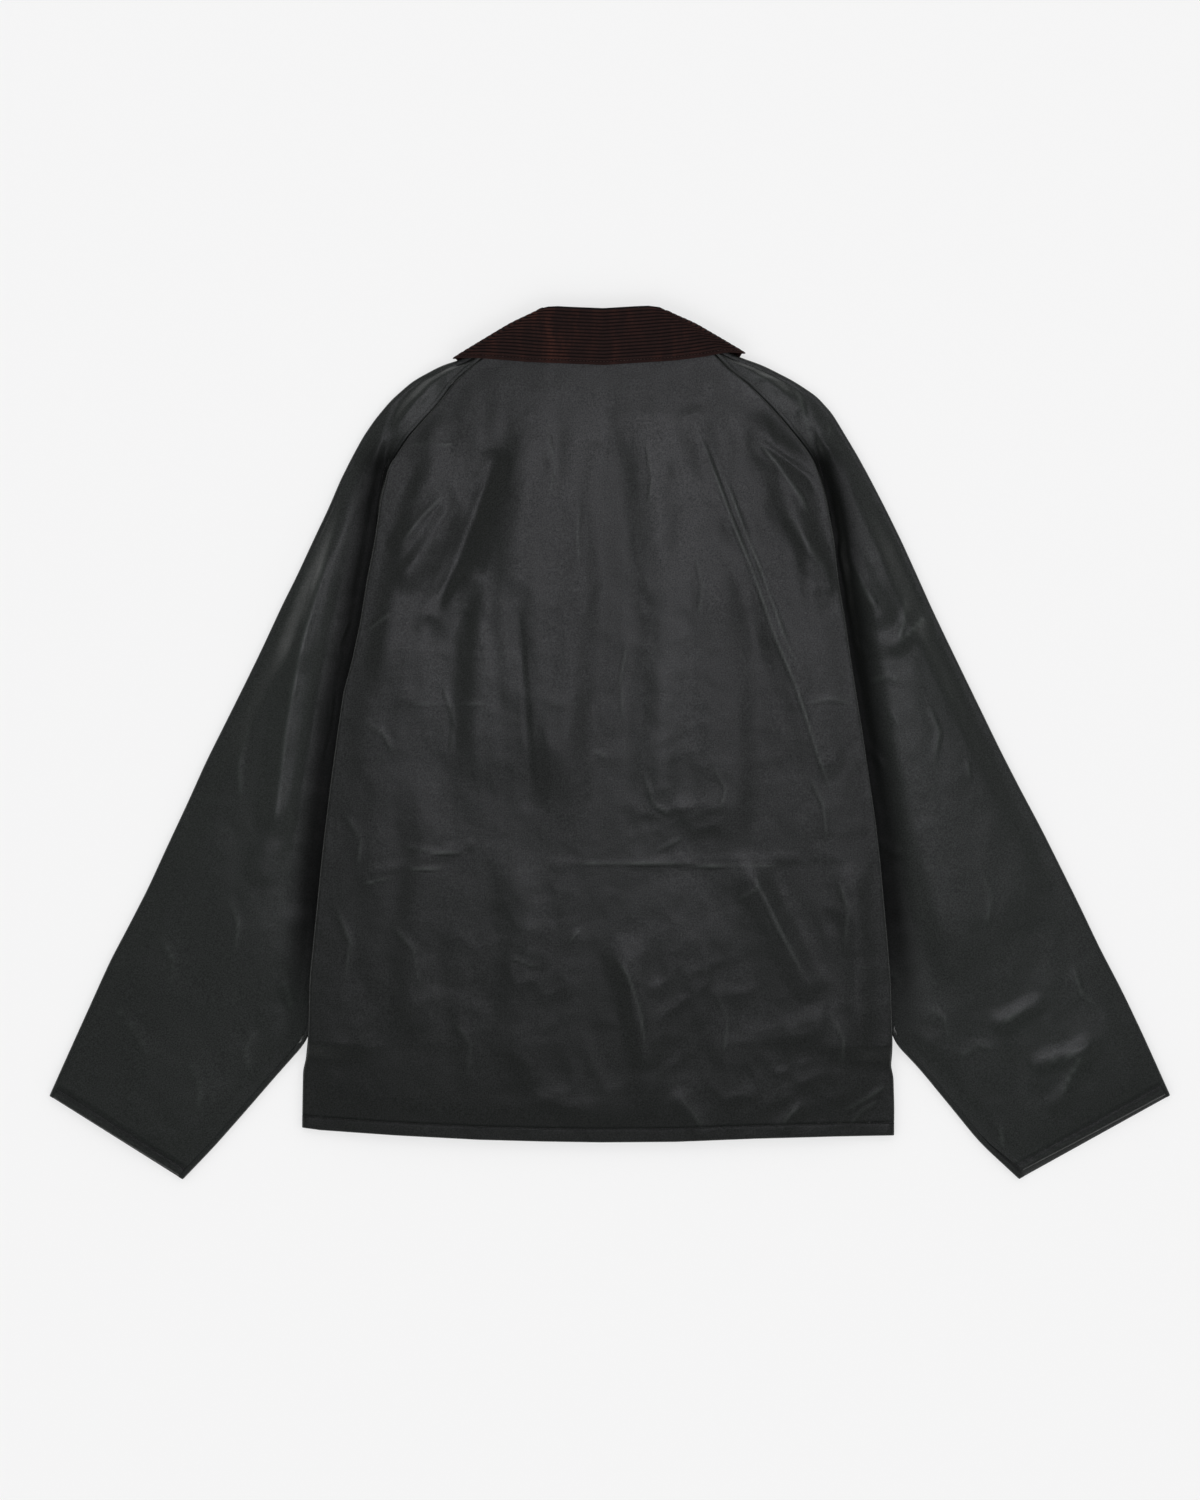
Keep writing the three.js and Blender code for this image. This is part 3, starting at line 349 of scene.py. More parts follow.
COLLAR_RIGHT = table(
    "rx ry fx fy sx sy turn ox oy",
    (24, 412.4, 62, 362.3, 52, 372.6, 90, 0, 1),
    (37, 413, 90, 366, 80, 372.8, 90, 0, 1),
    (47.5, 411.8, 111, 370, 96, 374.4, 90, 0, 1),
    (53.9, 408.6, 125.3, 369.2, 108, 377.6, 90, 0.498, 0.867),
    (53.9, 408.6, 125.3, 369.2, 108, 377.6, 0, 0.498, 0.867),
    (53.9, 408.6, 125.3, 369.2, 108, 377.6, -90, 0.498, 0.867),
    (42, 390, 107, 341, 90, 350.5, -90, 0, 1),
    (24, 366, 86, 316, 73, 323.5, -90, 0, 1),
    (7, 347, 65, 291, 33, 305.4, -90, 0, 1),
    (-7.2, 334, 44, 267, -7.2, 293.5, -90, 0, 1),
)
COLLAR_CLOTH = 1.4
COLLAR_FALL = 54
COLLAR_STITCH = 3.1
COLLAR_HALF_STACK = 3.25
COLLAR_MIDDLE = COLLAR_HALF_STACK + COLLAR_CLOTH / 2
ROLL_RADIUS = 0.85
STAND_HALF_STACK = COLLAR_HALF_STACK - 2 * ROLL_RADIUS
WALES = 16
WALE_HEIGHT = 0.5
UNDER_WALE_HEIGHT = 0.34
RIM_HEIGHT = 0.14
COLLAR_STITCH_DEPTH = 0.22
STAND_END_LEFT = -1.6
STAND_END_RIGHT = 0.4

LEAF_LIFT = 1.7
LEAF_OUTER_RAMP = (-44, -16)
LEAF_FRONT_RAMP = (-30, -7)
LEAVES = table(
    "outer_x outer_y point_x point_y roll_x roll_y side",
    (-146, 364.3, -63, 267, -11.8, 334, 1),
    (125.3, 369.2, 44, 267, -7.2, 334, -1),
)

# Largest folds, the same as in the CAD solids: ridges, or troughs where height is negative.
FOLD_COLUMNS = "x1 y1 x2 y2 width height"
BACK_FOLDS = table(
    FOLD_COLUMNS,
    (76, 306, 117, 204, 20, 0.6),
    (117, 204, 156, 102, 20, 0.7),
    (156, 102, 205, -17, 22, 0.7),
    (147, 281, 197, 245, 13, -0.8),
    (163, 225, 212, 153, 20, 0.9),
    (-111, 263, -172, 102, 20, -1.2),
    (-157, 235, -198, 189, 16, 1),
    (-88, 135, -73, -52, 20, -0.8),
    (137, -127, 186, -225, 24, 1),
    (2, -198, 34, -292, 18, 0.9),
    (-50, -116, 175, -110, 9, 0.25),
    (-235, -128, -133, -97, 9, 0.25),
    (66, -335, 88, -366, 14, 0.8),
    (164, -363, 179, -346, 12, 0.8),
)
SLEEVE_FOLDS = table(
    FOLD_COLUMNS,
    (-254, 230, -294, 85, 22, 1.2),
    (-294, 85, -316, -68, 24, 1.4),
    (-316, -68, -330, -120, 22, 1),
    (226, 178, 255, 122, 18, 1.2),
    (272, 94, 300, 121, 16, 1),
    (371, -266, 404, -248, 14, 1.2),
    (409, -305, 454, -289, 14, 1.2),
    (451, -291, 425, -341, 14, 1),
)

# Finer creases: half width, height, how far the wax is cracked light, and points.
BACK_CREASES = [
    (3.4, 0.45, 0.9, [
        (76, 306), (90, 281), (105, 240), (118, 205), (136, 161), (156, 102), (177, 52), (199, -17),
        (221, -74),
    ]),
    (3, 0.4, 0.8, [(97, 273), (113, 240), (126, 205), (144, 161), (164, 104), (184, 56)]),
    (4, -0.3, 0.0, [(86, 300), (101, 262), (116, 221), (133, 178), (152, 126)]),
    (5, -0.7, 0.1, [(147, 282), (172, 264), (197, 245)]),
    (4, 0.5, 0.8, [(140, 286), (160, 262), (181, 232), (190, 214)]),
    (9, 0.5, 0.3, [(163, 225), (186, 189), (212, 153)]),
    (2.6, 0.3, 0.8, [(-192, 282), (-170, 284), (-147, 282)]),
    (3.5, 0.35, 0.7, [(187, 39), (208, 41), (229, 39)]),
    (2.4, 0.22, 0.5, [(-190, 37), (-150, 35), (-114, 37)]),
    (2.4, 0.2, 0.5, [(-58, 37), (-28, 38)]),
    (2.6, 0.34, 0.8, [(-50, -112), (-10, -115), (50, -114), (112, -118), (175, -117)]),
    (2.6, 0.3, 0.6, [(-194, -119), (-156, -120)]),
    (3, 0.25, 0.7, [(-235, -134), (-204, -127)]),
    (3, 0.3, 0.6, [(-200, -97), (-166, -104), (-133, -105)]),
    (9, -0.6, 0.0, [(-111, 263), (-140, 186), (-172, 102)]),
    (5, 0.45, 0.5, [(-157, 235), (-180, 212), (-198, 189)]),
    (4, 0.45, 0.6, [(-208, 123), (-231, 105)]),
    (3.5, 0.22, 0.4, [(-29, 230), (-31, 196), (-29, 164)]),
    (3.5, 0.26, 0.5, [(17, 98), (10, 60), (13, 16)]),
    (6, -0.4, 0.0, [(-88, 135), (-82, 60), (-73, -52)]),
    (3.5, 0.4, 0.7, [(32, -29), (42, -59), (59, -69)]),
    (3, 0.3, 0.6, [(40, -105), (69, -90)]),
    (3, 0.3, 0.6, [(-17, -7), (-2, -14)]),
    (5, 0.45, 0.6, [(137, -127), (160, -176), (186, -225)]),
    (3.5, 0.4, 0.6, [(120, -150), (141, -138), (137, -127)]),
    (4, 0.45, 0.6, [(2, -198), (17, -221), (28, -251), (34, -292)]),
    (3, 0.3, 0.5, [(-39, -190), (-28, -176)]),
    (3.2, 0.3, 0.5, [(-96, -202), (-78, -210), (-62, -213)]),
    (4, 0.5, 0.6, [(66, -336), (78, -349), (88, -366)]),
    (4, 0.5, 0.6, [(163, -363), (171, -352), (179, -346)]),
    (4, 0.5, 0.6, [(264, -324), (243, -338), (221, -350)]),
    (4, 0.4, 0.5, [(255, -340), (238, -350), (226, -364)]),
    (3.5, 0.3, 0.4, [(-236, 24), (-214, 8), (-205, -12)]),
    (3.5, 0.3, 0.4, [(-160, 60), (-148, 22), (-151, -16)]),
    (4, 0.3, 0.4, [(80, 180), (88, 150), (84, 118)]),
    (3.5, 0.28, 0.5, [(96, -20), (110, -44), (104, -66)]),
    (4, 0.35, 0.5, [(188, -30), (203, -60), (206, -96)]),
    (4, 0.35, 0.5, [(216, -128), (226, -160), (222, -196)]),
    (3.5, 0.3, 0.5, [(-252, -66), (-236, -92), (-240, -120)]),
    (4, 0.35, 0.5, [(-262, -150), (-246, -190), (-252, -230)]),
    (4, 0.3, 0.4, [(-210, -170), (-186, -196), (-180, -236)]),
    (3.5, 0.3, 0.4, [(-150, -262), (-132, -286), (-136, -318)]),
    (3.5, 0.3, 0.4, [(100, -236), (112, -262), (108, -296)]),
    (3.5, 0.3, 0.4, [(206, -256), (222, -282), (218, -310)]),
    (3.5, 0.25, 0.4, [(-60, 300), (-52, 262), (-58, 230)]),
    (3.5, 0.25, 0.4, [(34, 286), (40, 250), (36, 222)]),
]
HEM_PUCKERS = [
    -268, -243, -211, -178, -152, -125, -98, -75, -62, -40, -18, 6, 28, 50, 66,
    85, 98, 107, 120, 133, 149, 165, 176, 188, 204, 219, 236, 250, 261,
]
SLEEVE_CREASES = [
    (6, 0.5, 0.5, [(-254, 230), (-273, 163), (-294, 85), (-307, 12), (-316, -68), (-324, -96)]),
    (10, -0.7, 0.0, [(-250, 187), (-270, 85), (-284, 12), (-296, -60), (-307, -150)]),
    (5, 0.5, 0.8, [(-311, -224), (-306, -236), (-301, -254)]),
    (5, 0.45, 0.5, [(-262, 60), (-266, 20), (-276, -20)]),
    (4, 0.4, 0.5, [(-246, 120), (-258, 92), (-256, 66)]),
    (4.5, 0.4, 0.5, [(-340, 20), (-352, -20), (-350, -60)]),
    (4, 0.35, 0.5, [(-364, -140), (-352, -170), (-356, -204)]),
    (4, 0.35, 0.5, [(-430, -180), (-414, -206), (-418, -240)]),
    (4, 0.4, 0.5, [(-470, -250), (-452, -270), (-436, -300)]),
    (4, 0.4, 0.5, [(-400, -300), (-388, -326), (-392, -352)]),
    (4, 0.35, 0.5, [(-332, -270), (-346, -290), (-342, -316)]),
    (6, 0.5, 0.5, [(124, 346), (150, 347), (174, 343), (186, 306), (195, 266)]),
    (4, 0.4, 0.5, [(211, 313), (209, 300), (207, 287)]),
    (7, 0.55, 0.6, [(226, 178), (240, 147), (255, 122)]),
    (5, 0.55, 0.8, [(272, 94), (286, 106), (300, 121)]),
    (5, 0.5, 0.7, [(272, 94), (279, 116), (280, 138)]),
    (4, 0.45, 0.6, [(233, 101), (240, 90), (245, 78)]),
    (4, 0.4, 0.6, [(263, 31), (275, 17)]),
    (4, 0.35, 0.5, [(339, -15), (340, -33)]),
    (5, 0.5, 0.6, [(240, 52), (256, 62), (280, 60)]),
    (4.5, 0.4, 0.5, [(228, 8), (246, -4), (262, -26)]),
    (4.5, 0.4, 0.5, [(300, 40), (312, 10), (306, -24)]),
    (4.5, 0.4, 0.5, [(250, -90), (268, -104), (290, -100)]),
    (5, 0.55, 0.7, [(371, -266), (388, -256), (404, -248)]),
    (5, 0.55, 0.7, [(409, -304), (432, -298), (454, -289)]),
    (5, 0.5, 0.7, [(451, -291), (437, -314), (425, -341)]),
    (4.5, 0.45, 0.6, [(371, -362), (373, -387)]),
    (4.5, 0.4, 0.6, [(265, -216), (272, -224), (278, -232)]),
    (4.5, 0.45, 0.5, [(330, -300), (346, -286), (366, -290)]),
    (4.5, 0.4, 0.5, [(440, -210), (446, -236), (468, -256)]),
    (4, 0.4, 0.5, [(300, -250), (318, -262), (322, -284)]),
    (4, 0.35, 0.5, [(350, -120), (362, -146), (356, -176)]),
]
UNDER_CREASES = [
    (7, -0.35, 0.5, [(-150, 220), (-120, 120), (-128, 20)]),
    (6, -0.3, 0.5, [(120, 200), (96, 110), (104, 40)]),
    (6, -0.35, 0.6, [(-230, -110), (-120, -114), (-40, -108)]),
    (6, -0.35, 0.6, [(30, -110), (120, -116), (230, -108)]),
    (5, -0.3, 0.5, [(-90, -20), (-70, -70), (-84, -130)]),
    (5, -0.3, 0.5, [(150, -30), (170, -90), (160, -160)]),
    (5, -0.3, 0.5, [(-200, -180), (-170, -240), (-180, -300)]),
    (5, -0.3, 0.5, [(60, -200), (80, -260), (70, -320)]),
    (6, -0.3, 0.5, [(-300, 60), (-330, -60), (-360, -150)]),
    (6, -0.3, 0.5, [(290, 70), (320, -40), (350, -140)]),
    (5, -0.3, 0.6, [(-430, -190), (-400, -250), (-420, -320)]),
    (5, -0.3, 0.6, [(410, -200), (390, -260), (420, -330)]),
    (5, -0.3, 0.5, [(-260, 190), (-240, 150), (-262, 100)]),
    (5, -0.3, 0.5, [(250, 190), (230, 150), (252, 96)]),
]

# Wide soft ridges: height, width to the right and to the left of the way that the points run.
BACK_RIDGES = [
    (1.1, 26, 40, [(-66, 330), (-92, 250), (-118, 150), (-128, 40), (-124, -60)]),
    (0.9, 30, 26, [(-20, 350), (-34, 240), (-28, 120), (-40, 0), (-34, -110)]),
    (1.0, 34, 30, [(26, 340), (44, 230), (52, 100), (46, -20), (60, -90)]),
    (0.8, 20, 44, [(120, 330), (160, 262), (188, 190), (206, 110)]),
    (1.0, 20, 40, [(-150, 290), (-186, 220), (-206, 140), (-222, 40)]),
    (0.9, 26, 34, [(-186, -20), (-176, -110), (-190, -200), (-186, -300)]),
    (0.9, 30, 30, [(-100, -90), (-78, -180), (-90, -260), (-84, -340)]),
    (1.0, 22, 36, [(0, -180), (24, -240), (34, -300), (30, -350)]),
    (1.1, 44, 22, [(110, -90), (150, -160), (186, -226), (196, -300)]),
    (0.9, 22, 30, [(222, -110), (236, -200), (232, -290)]),
    (1.2, 14, 26, [(-143, 236), (-172, 190), (-203, 143)]),
    (0.9, 14, 22, [(-127, 171), (-150, 138), (-176, 111)]),
    (1.1, 20, 12, [(176, 300), (200, 274), (222, 246)]),
    (1.6, 36, 60, [(-70, 300), (-84, 180), (-76, 60), (-60, -70)]),
    (1.3, 60, 30, [(96, 200), (112, 90), (118, -30), (112, -120)]),
]
SLEEVE_RIDGES = [
    (3.4, 100, 46, [
        (-246, 268), (-262, 210), (-280, 140), (-296, 80), (-308, 12), (-317, -68), (-330, -150),
        (-336, -230), (-340, -290),
    ]),
    (1.2, 30, 16, [(-292, -150), (-300, -210), (-305, -250)]),
    (0.9, 60, 60, [(-380, -60), (-420, -160), (-450, -260)]),
    (3.8, 34, 110, [
        (222, 268), (236, 200), (252, 130), (266, 60), (280, -20), (300, -110), (326, -200), (350, -270),
    ]),
    (1.0, 24, 40, [(232, 150), (250, 110), (262, 76)]),
    (1.0, 50, 50, [(330, 20), (372, -90), (410, -180)]),
    (1.3, 20, 34, [(150, 348), (182, 338), (206, 300), (216, 262)]),
    (1.2, 34, 20, [(-160, 348), (-196, 326), (-222, 284), (-236, 250)]),
]
# Places where the cloth is crumpled into small flat facets: centre, reach and height.
CRUMPLES = table(
    "x y reach height",
    (420, -300, 120, 1.2),
    (330, -300, 90, 1.2),
    (-400, -360, 90, 1.1),
    (-330, -290, 70, 0.9),
    (200, -300, 110, 1.1),
    (110, -330, 110, 1.0),
    (-20, -330, 120, 1.0),
    (-200, -320, 120, 0.5),
    (230, -150, 80, 0.8),
    (250, 100, 90, 0.45),
    (70, -60, 90, 0.7),
    (190, 290, 80, 1.4),
    (-190, 310, 70, 1.2),
    (-240, 100, 50, 0.5),
    (-170, 60, 90, 0.5),
    (-90, -230, 110, 0.8),
    (60, -220, 110, 0.9),
    (0, 100, 400, 0.25),
    (300, 0, 200, 0.35),
    (-330, -50, 200, 0.3),
)

# Lighter zones of the wax, partly wax wear and partly painted sheen where the cloth would catch the light: centre,
# reach across and along, strength.
WORN_AND_SHEEN = table(
    "x y across along strength",
    (52, 23, 34, 125, 0.9),
    (-124, 83, 44, 105, 0.8),
    (141, -178, 36, 52, 0.6),
    (60, 250, 60, 70, 0.6),
    (-30, 290, 90, 50, 0.4),
    (-60, -160, 120, 60, 0.35),
    (206, 120, 26, 90, 0.6),
    (-300, 20, 30, 160, 0.7),
    (-300, -240, 16, 20, 0.9),
    (-400, -120, 60, 80, 0.4),
    (300, 60, 40, 90, 0.5),
    (400, -150, 50, 90, 0.4),
    (410, -290, 60, 60, 0.5),
    (150, 335, 34, 20, 0.7),
    (-180, 330, 40, 22, 0.7),
)


def smooth(start, end, value):
    share = np.clip((value - start) / (end - start), 0, 1)
    return share * share * (3 - 2 * share)


def mix(start, end, share):
    return start + (end - start) * share


def column(source, key, name, value):
    """A table's column at a key that rises or falls down the table."""
    keys, values = source[key], source[name]
    if keys[-1] < keys[0]:
        keys, values = keys[::-1], values[::-1]
    return np.interp(value, keys, values)


def softened(values, reach):
    """Values along a line with their corners rounded over reach steps, ends kept."""
    padded = np.concatenate([
        2 * values[0] - values[reach:0:-1],
        values,
        2 * values[-1] - values[-2:-reach - 2:-1],
    ])
    kernel = np.hanning(2 * reach + 3)[1:-1]
    return np.convolve(padded, kernel / kernel.sum(), "valid")


def body(name, y):
    return column(BODY, "y", name, y)


def band(value, place, inner, outer):
    """1 within inner of a place, falling softly to 0 at outer."""
    return 1 - smooth(inner, outer, np.abs(value - place))


def way_places(points, x, y):
    """Distance to a way, distance with its side (right is positive), share along, and length."""
    near = np.full(np.broadcast(x, y).shape, 1e9)
    across = np.zeros_like(near)
    along = np.zeros_like(near)
    lengths = [math.dist(a, b) for a, b in zip(points, points[1:])]
    total = sum(lengths)
    for i, ((x1, y1), (x2, y2)) in enumerate(zip(points, points[1:])):
        dx, dy = x2 - x1, y2 - y1
        share = np.clip(((x - x1) * dx + (y - y1) * dy) / (dx * dx + dy * dy), 0, 1)
        distance = np.hypot(x - x1 - share * dx, y - y1 - share * dy)
        closer = distance < near
        side = np.sign((x - x1) * dy - (y - y1) * dx)
        across = np.where(closer, side * distance, across)
        along = np.where(closer, (sum(lengths[:i]) + share * lengths[i]) / total, along)
        near = np.minimum(near, distance)
    return near, across, along, total


def fold_height(folds, x, y):
    """Height that the largest folds give to points."""
    height = np.zeros(np.broadcast(x, y).shape)
    for x1, y1, x2, y2, width, rise in zip(*folds.values()):
        near = way_places([(x1, y1), (x2, y2)], x, y)[0]
        height += rise * smooth(0, 1, 1 - near / width)
    return height


def creases(rows, x, y):
    """Height and lightness that the listed creases give to points."""
    height = np.zeros(np.broadcast(x, y).shape)
    light = np.zeros_like(height)
    for order, (width, rise, crack, points) in enumerate(rows):
        near, _, along, total = way_places(points, x, y)
        uneven = 0.78 + 0.22 * np.sin(along * total / 9 + order * 1.7)
        taper = smooth(0, 0.22, along) * smooth(0, 0.22, 1 - along) * uneven
        height += rise * taper * smooth(0, 1, 1 - near / width)
        light += crack * taper * np.clip(1 - near / (0.45 * width + 0.6), 0, 1) ** 1.5
    return height, light


def ridges(rows, x, y):
    """Height of wide ridges with a flank of their own on each side."""
    height = np.zeros(np.broadcast(x, y).shape)
    for rise, right, left, points in rows:
        _, across, along, _ = way_places(points, x, y)
        flank = np.where(across > 0, across / right, -across / left)
        taper = smooth(0, 0.2, along) * smooth(0, 0.2, 1 - along)
        height += rise * taper * smooth(0, 1, 1 - flank)
    return height


def crumpled(x, y):
    """Facets between sharp ridges, where the table of crumpled places says."""
    amount = np.zeros(np.broadcast(x, y).shape)
    for centre_x, centre_y, reach, height in zip(*CRUMPLES.values()):
        distance = np.hypot(x - centre_x, y - centre_y) / reach
        amount = np.maximum(amount, height * smooth(0, 1, 1 - distance))
    u = x + 14 * swell(x, y, 70, 21)
    v = y + 14 * swell(x, y, 70, 22)
    large = 1 - np.abs(swell(u, v, 46, 23))
    small = 1 - np.abs(swell(u + 0.4 * v, v - 0.4 * u, 24, 24))
    return amount * (0.75 * large + 0.4 * small - 0.3)


def rippled(x, y, seed):
    """Long soft ripples that hang down the cloth."""
    wander = 9 * swell(x, y, 120, seed + 3)
    broad = 0.5 * swell(x + wander, y * 0.2, 46, seed) + 0.35 * swell(x, y, 110, seed + 2)
    return broad + 0.16 * swell(x + wander, y * 0.16, 19, seed + 1)


# What lifts each upper cloth softly: shares of ridges, ripples and facets over a level.
BACK_SOFTNESS = {"level": 0.6, "ridged": 1.5, "rippled": 1.4, "crumpled": 1.7, "seed": 31}
SLEEVE_SOFTNESS = {"level": 0.4, "ridged": 1.0, "rippled": 0.8, "crumpled": 1.3, "seed": 41}


def soft_lift(rows, sizes, x, y):
    lift = sizes["ridged"] * ridges(rows, x, y) + sizes["level"]
    lift += sizes["rippled"] * rippled(x, y, sizes["seed"]) + sizes["crumpled"] * crumpled(x, y)
    return np.maximum(lift, 0)


def worn_and_sheen(x, y):
    """How much lighter the wax is painted, from 0 to 1, for wax wear and painted sheen."""
    total = np.zeros(np.broadcast(x, y).shape)
    for centre_x, centre_y, across, along, strength in zip(*WORN_AND_SHEEN.values()):
        total += strength * np.exp(-(((x - centre_x) / across) ** 2 + ((y - centre_y) / along) ** 2) / 1.2)
    return np.clip(total, 0, 1)


def swell(x, y, size, seed):
    """Smooth random swelling between -1 and 1 with hills about size apart."""
    lattice = np.random.RandomState(seed).uniform(-1, 1, (64, 64))
    u, v = x / size + 31.3, y / size + 31.7
    i, j = np.floor(u).astype(int), np.floor(v).astype(int)
    fu, fv = smooth(0, 1, u - i), smooth(0, 1, v - j)
    corner = lambda a, b: lattice[(i + a) % 64, (j + b) % 64]
    low = mix(corner(0, 0), corner(1, 0), fu)
    high = mix(corner(0, 1), corner(1, 1), fu)
    return mix(low, high, fv)


# Small swellings of the relief: height, hill size, seed, and squeeze across and along.
SWELL_COLUMNS = "height size seed across along"
BACK_SWELLS = table(SWELL_COLUMNS, (0.16, 62, 3, 1, 1), (0.08, 27, 4, 1, 1), (0.05, 21, 5, 2.2, 0.5))
SLEEVE_SWELLS = table(SWELL_COLUMNS, (0.15, 55, 7, 1, 1), (0.08, 24, 8, 1, 1))


def swells(rows, x, y):
    return sum(
        height * swell(x * across, y * along, size, int(seed))
        for height, size, seed, across, along in zip(*rows.values())
    )


def body_inset(x, y):
    """Distance in from the nearer side of the body, negative outside it."""
    return np.minimum(x - body("left", y), body("right", y) - x)


def leaf_lift(x, y):
    """How far the collar's front leaves, which lie below, lift the cloth over them."""
    share = np.zeros(np.broadcast(x, y).shape)
    for ox, oy, px, py, rx, ry, side in zip(*LEAVES.values()):
        outer = side * ((px - ox) * (y - oy) - (py - oy) * (x - ox)) / math.hypot(px - ox, py - oy)
        front = side * ((rx - px) * (y - py) - (ry - py) * (x - px)) / math.hypot(rx - px, ry - py)
        over = np.minimum(smooth(*LEAF_OUTER_RAMP, outer), smooth(*LEAF_FRONT_RAMP, front))
        share = np.maximum(share, over)
    return LEAF_LIFT * share


def over_front(x, y):
    """Share by which a sleeve has climbed on to the front panel's side."""
    lower = 1 - smooth(FRONT_SIDE_TOP + 6, FRONT_SIDE_TOP + 30, y)
    return smooth(-FRONT_RAMP, 2, body_inset(x, y)) * lower


def sleeve_front_floor(x, y):
    return leaf_lift(x, y) + LAYER * over_front(x, y)


def hem_share(row_y):
    return (HEM_BLEND_START - row_y) / (HEM_BLEND_START - HEM_NOMINAL)


def body_y(x, row_y):
    """Place of a row's points, bent more towards the hem's own line the lower the row is."""
    return row_y + (column(HEM, "x", "y", x) - HEM_NOMINAL) * np.clip(hem_share(row_y), 0, 1)


def turned_edge(reach, low, high, steps):
    """Section of a turned edge: distance in from the outline and height of the wall's middle."""
    radius = (high - low) / 2
    centre = CLOTH / 2 + abs(radius)
    angle = np.pi * (np.linspace(0, 1, steps + 1) - 0.5)
    inset = centre - abs(radius) * np.cos(angle)
    height = low + radius + radius * np.sin(angle)
    return np.append(reach, inset), np.append(low, height)


def grid_normals(p):
    """Directions square to a grid of points, facing the outer side."""
    def along(axis):
        step = np.diff(p, axis=axis)
        step /= np.linalg.norm(step, axis=2, keepdims=True) + 1e-9
        before = [(0, 0)] * 3
        before[axis] = (1, 0)
        after = [(0, 0)] * 3
        after[axis] = (0, 1)
        return np.pad(step, before) + np.pad(step, after)

    normal = np.cross(along(1), along(0))
    return normal / (np.linalg.norm(normal, axis=2, keepdims=True) + 1e-9)


def fan(ring):
    """Triangles of a ring of points, all from its last but one."""
    ring = [int(point) for point in ring[-2:] + ring[:-2]]
    return [[ring[0], ring[i], ring[i + 1]] for i in range(1, len(ring) - 1)]


def squares(*corners):
    """Faces with four corners each, from four grids of point numbers."""
    return np.stack(corners, axis=2).reshape(-1, 4).tolist()


# Painted shade: the wax's shine is dulled where the cloth turns down sharply, so that its sides look shaded: upright
# share of its direction, and span.
STEEP_START = 0.96
STEEP_SPAN = 0.2


def wall(name, p, t, outer=0.0, inner=0.0, skip=3, keep=(), flip=False, marks=None):
    """Closed wall round a grid p of middle points, t thick, with relief on both faces.

    The outer face has every point; the inner has each skip-th and those in keep (columns).
    marks are arrays for the points of the outer face, and both faces get them."""
    marks = marks or {}
    if flip:
        p = p[::-1]
        turn = lambda a: a[::-1] if np.ndim(a) == 2 and np.shape(a)[0] > 1 else a
        t, outer, inner = turn(t), turn(outer), turn(inner)
        marks = {key: turn(value) for key, value in marks.items()}
    rows, columns = p.shape[:2]
    normal = grid_normals(p)
    full = np.ones((rows, columns))
    up = p + normal * (full * (t / 2 + outer))[..., None]
    down = p - normal * (full * (t / 2 + inner))[..., None]
    for face in (up, down):
        face[..., 2] = np.maximum(face[..., 2], 0)
    row_set = sorted({0, 1, 2, rows - 3, rows - 2, rows - 1, *range(0, rows, skip)})
    column_set = sorted({0, 1, columns - 2, columns - 1, *keep, *range(0, columns, skip)})
    at = np.arange(rows * columns).reshape(rows, columns)
    below = np.arange(len(row_set) * len(column_set)).reshape(len(row_set), -1) + rows * columns
    faces = squares(at[:-1, :-1], at[:-1, 1:], at[1:, 1:], at[1:, :-1])
    faces += squares(below[:-1, :-1], below[1:, :-1], below[1:, 1:], below[:-1, 1:])
    for k, (a, b) in enumerate(zip(column_set, column_set[1:])):
        faces += fan([*at[0, a:b + 1][::-1], below[0, k], below[0, k + 1]])
        faces += fan([*at[-1, a:b + 1], below[-1, k + 1], below[-1, k]])
    for k, (a, b) in enumerate(zip(row_set, row_set[1:])):
        faces += fan([*at[a:b + 1, 0], below[k + 1, 0], below[k, 0]])
        faces += fan([*at[a:b + 1, -1][::-1], below[k, -1], below[k + 1, -1]])
    pick = lambda a: a[np.ix_(row_set, column_set)]
    points = np.concatenate([up.reshape(-1, 3), pick(down).reshape(-1, 3)])
    across = np.cumsum(np.pad(np.linalg.norm(np.diff(p, axis=1), axis=2), [(0, 0), (1, 0)]), axis=1)
    across -= across[:, columns // 2][:, None]
    length = np.cumsum(np.pad(np.linalg.norm(np.diff(p[:, columns // 2], axis=0), axis=1), (1, 0)))
    uv = np.stack([across, np.repeat(length[:, None], columns, axis=1)], axis=2) * MM
    uv = np.concatenate([uv.reshape(-1, 2), pick(uv).reshape(-1, 2)])
    values = {"inside": np.concatenate([np.zeros(rows * columns), np.ones(below.size)])}
    dulled_shade = np.clip((STEEP_START - np.abs(grid_normals(up)[..., 2])) / STEEP_SPAN, 0, 1)
    for key, value in {**marks, "dulled_shade": np.maximum(dulled_shade, marks.get("dulled_shade", 0))}.items():
        value = full * value
        values[key] = np.concatenate([value.reshape(-1), pick(value).reshape(-1)])
    return piece(name, points, faces, uv, values), up


def piece(name, points, faces, uv=None, values=None, sharp=50):
    """Object from points in millimetres, with edges sharper than an angle kept sharp."""
    mesh = bpy.data.meshes.new(name)
    mesh.from_pydata(((points + SHIFT) * MM).tolist(), [], faces)
    mesh.polygons.foreach_set("use_smooth", [True] * len(mesh.polygons))
    if sharp:
        mesh.set_sharp_from_angle(angle=math.radians(sharp))
    if uv is not None:
        corners = np.zeros(len(mesh.loops), dtype=np.int32)
        mesh.loops.foreach_get("vertex_index", corners)
        mesh.uv_layers.new(name="cut").data.foreach_set("uv", uv[corners].ravel())
    for key, value in (values or {}).items():
        mesh.attributes.new(key, "FLOAT", "POINT").data.foreach_set("value", value.astype(np.float32))
    mesh.update()
    made = bpy.data.objects.new(name, mesh)
    bpy.context.scene.collection.objects.link(made)
    return made


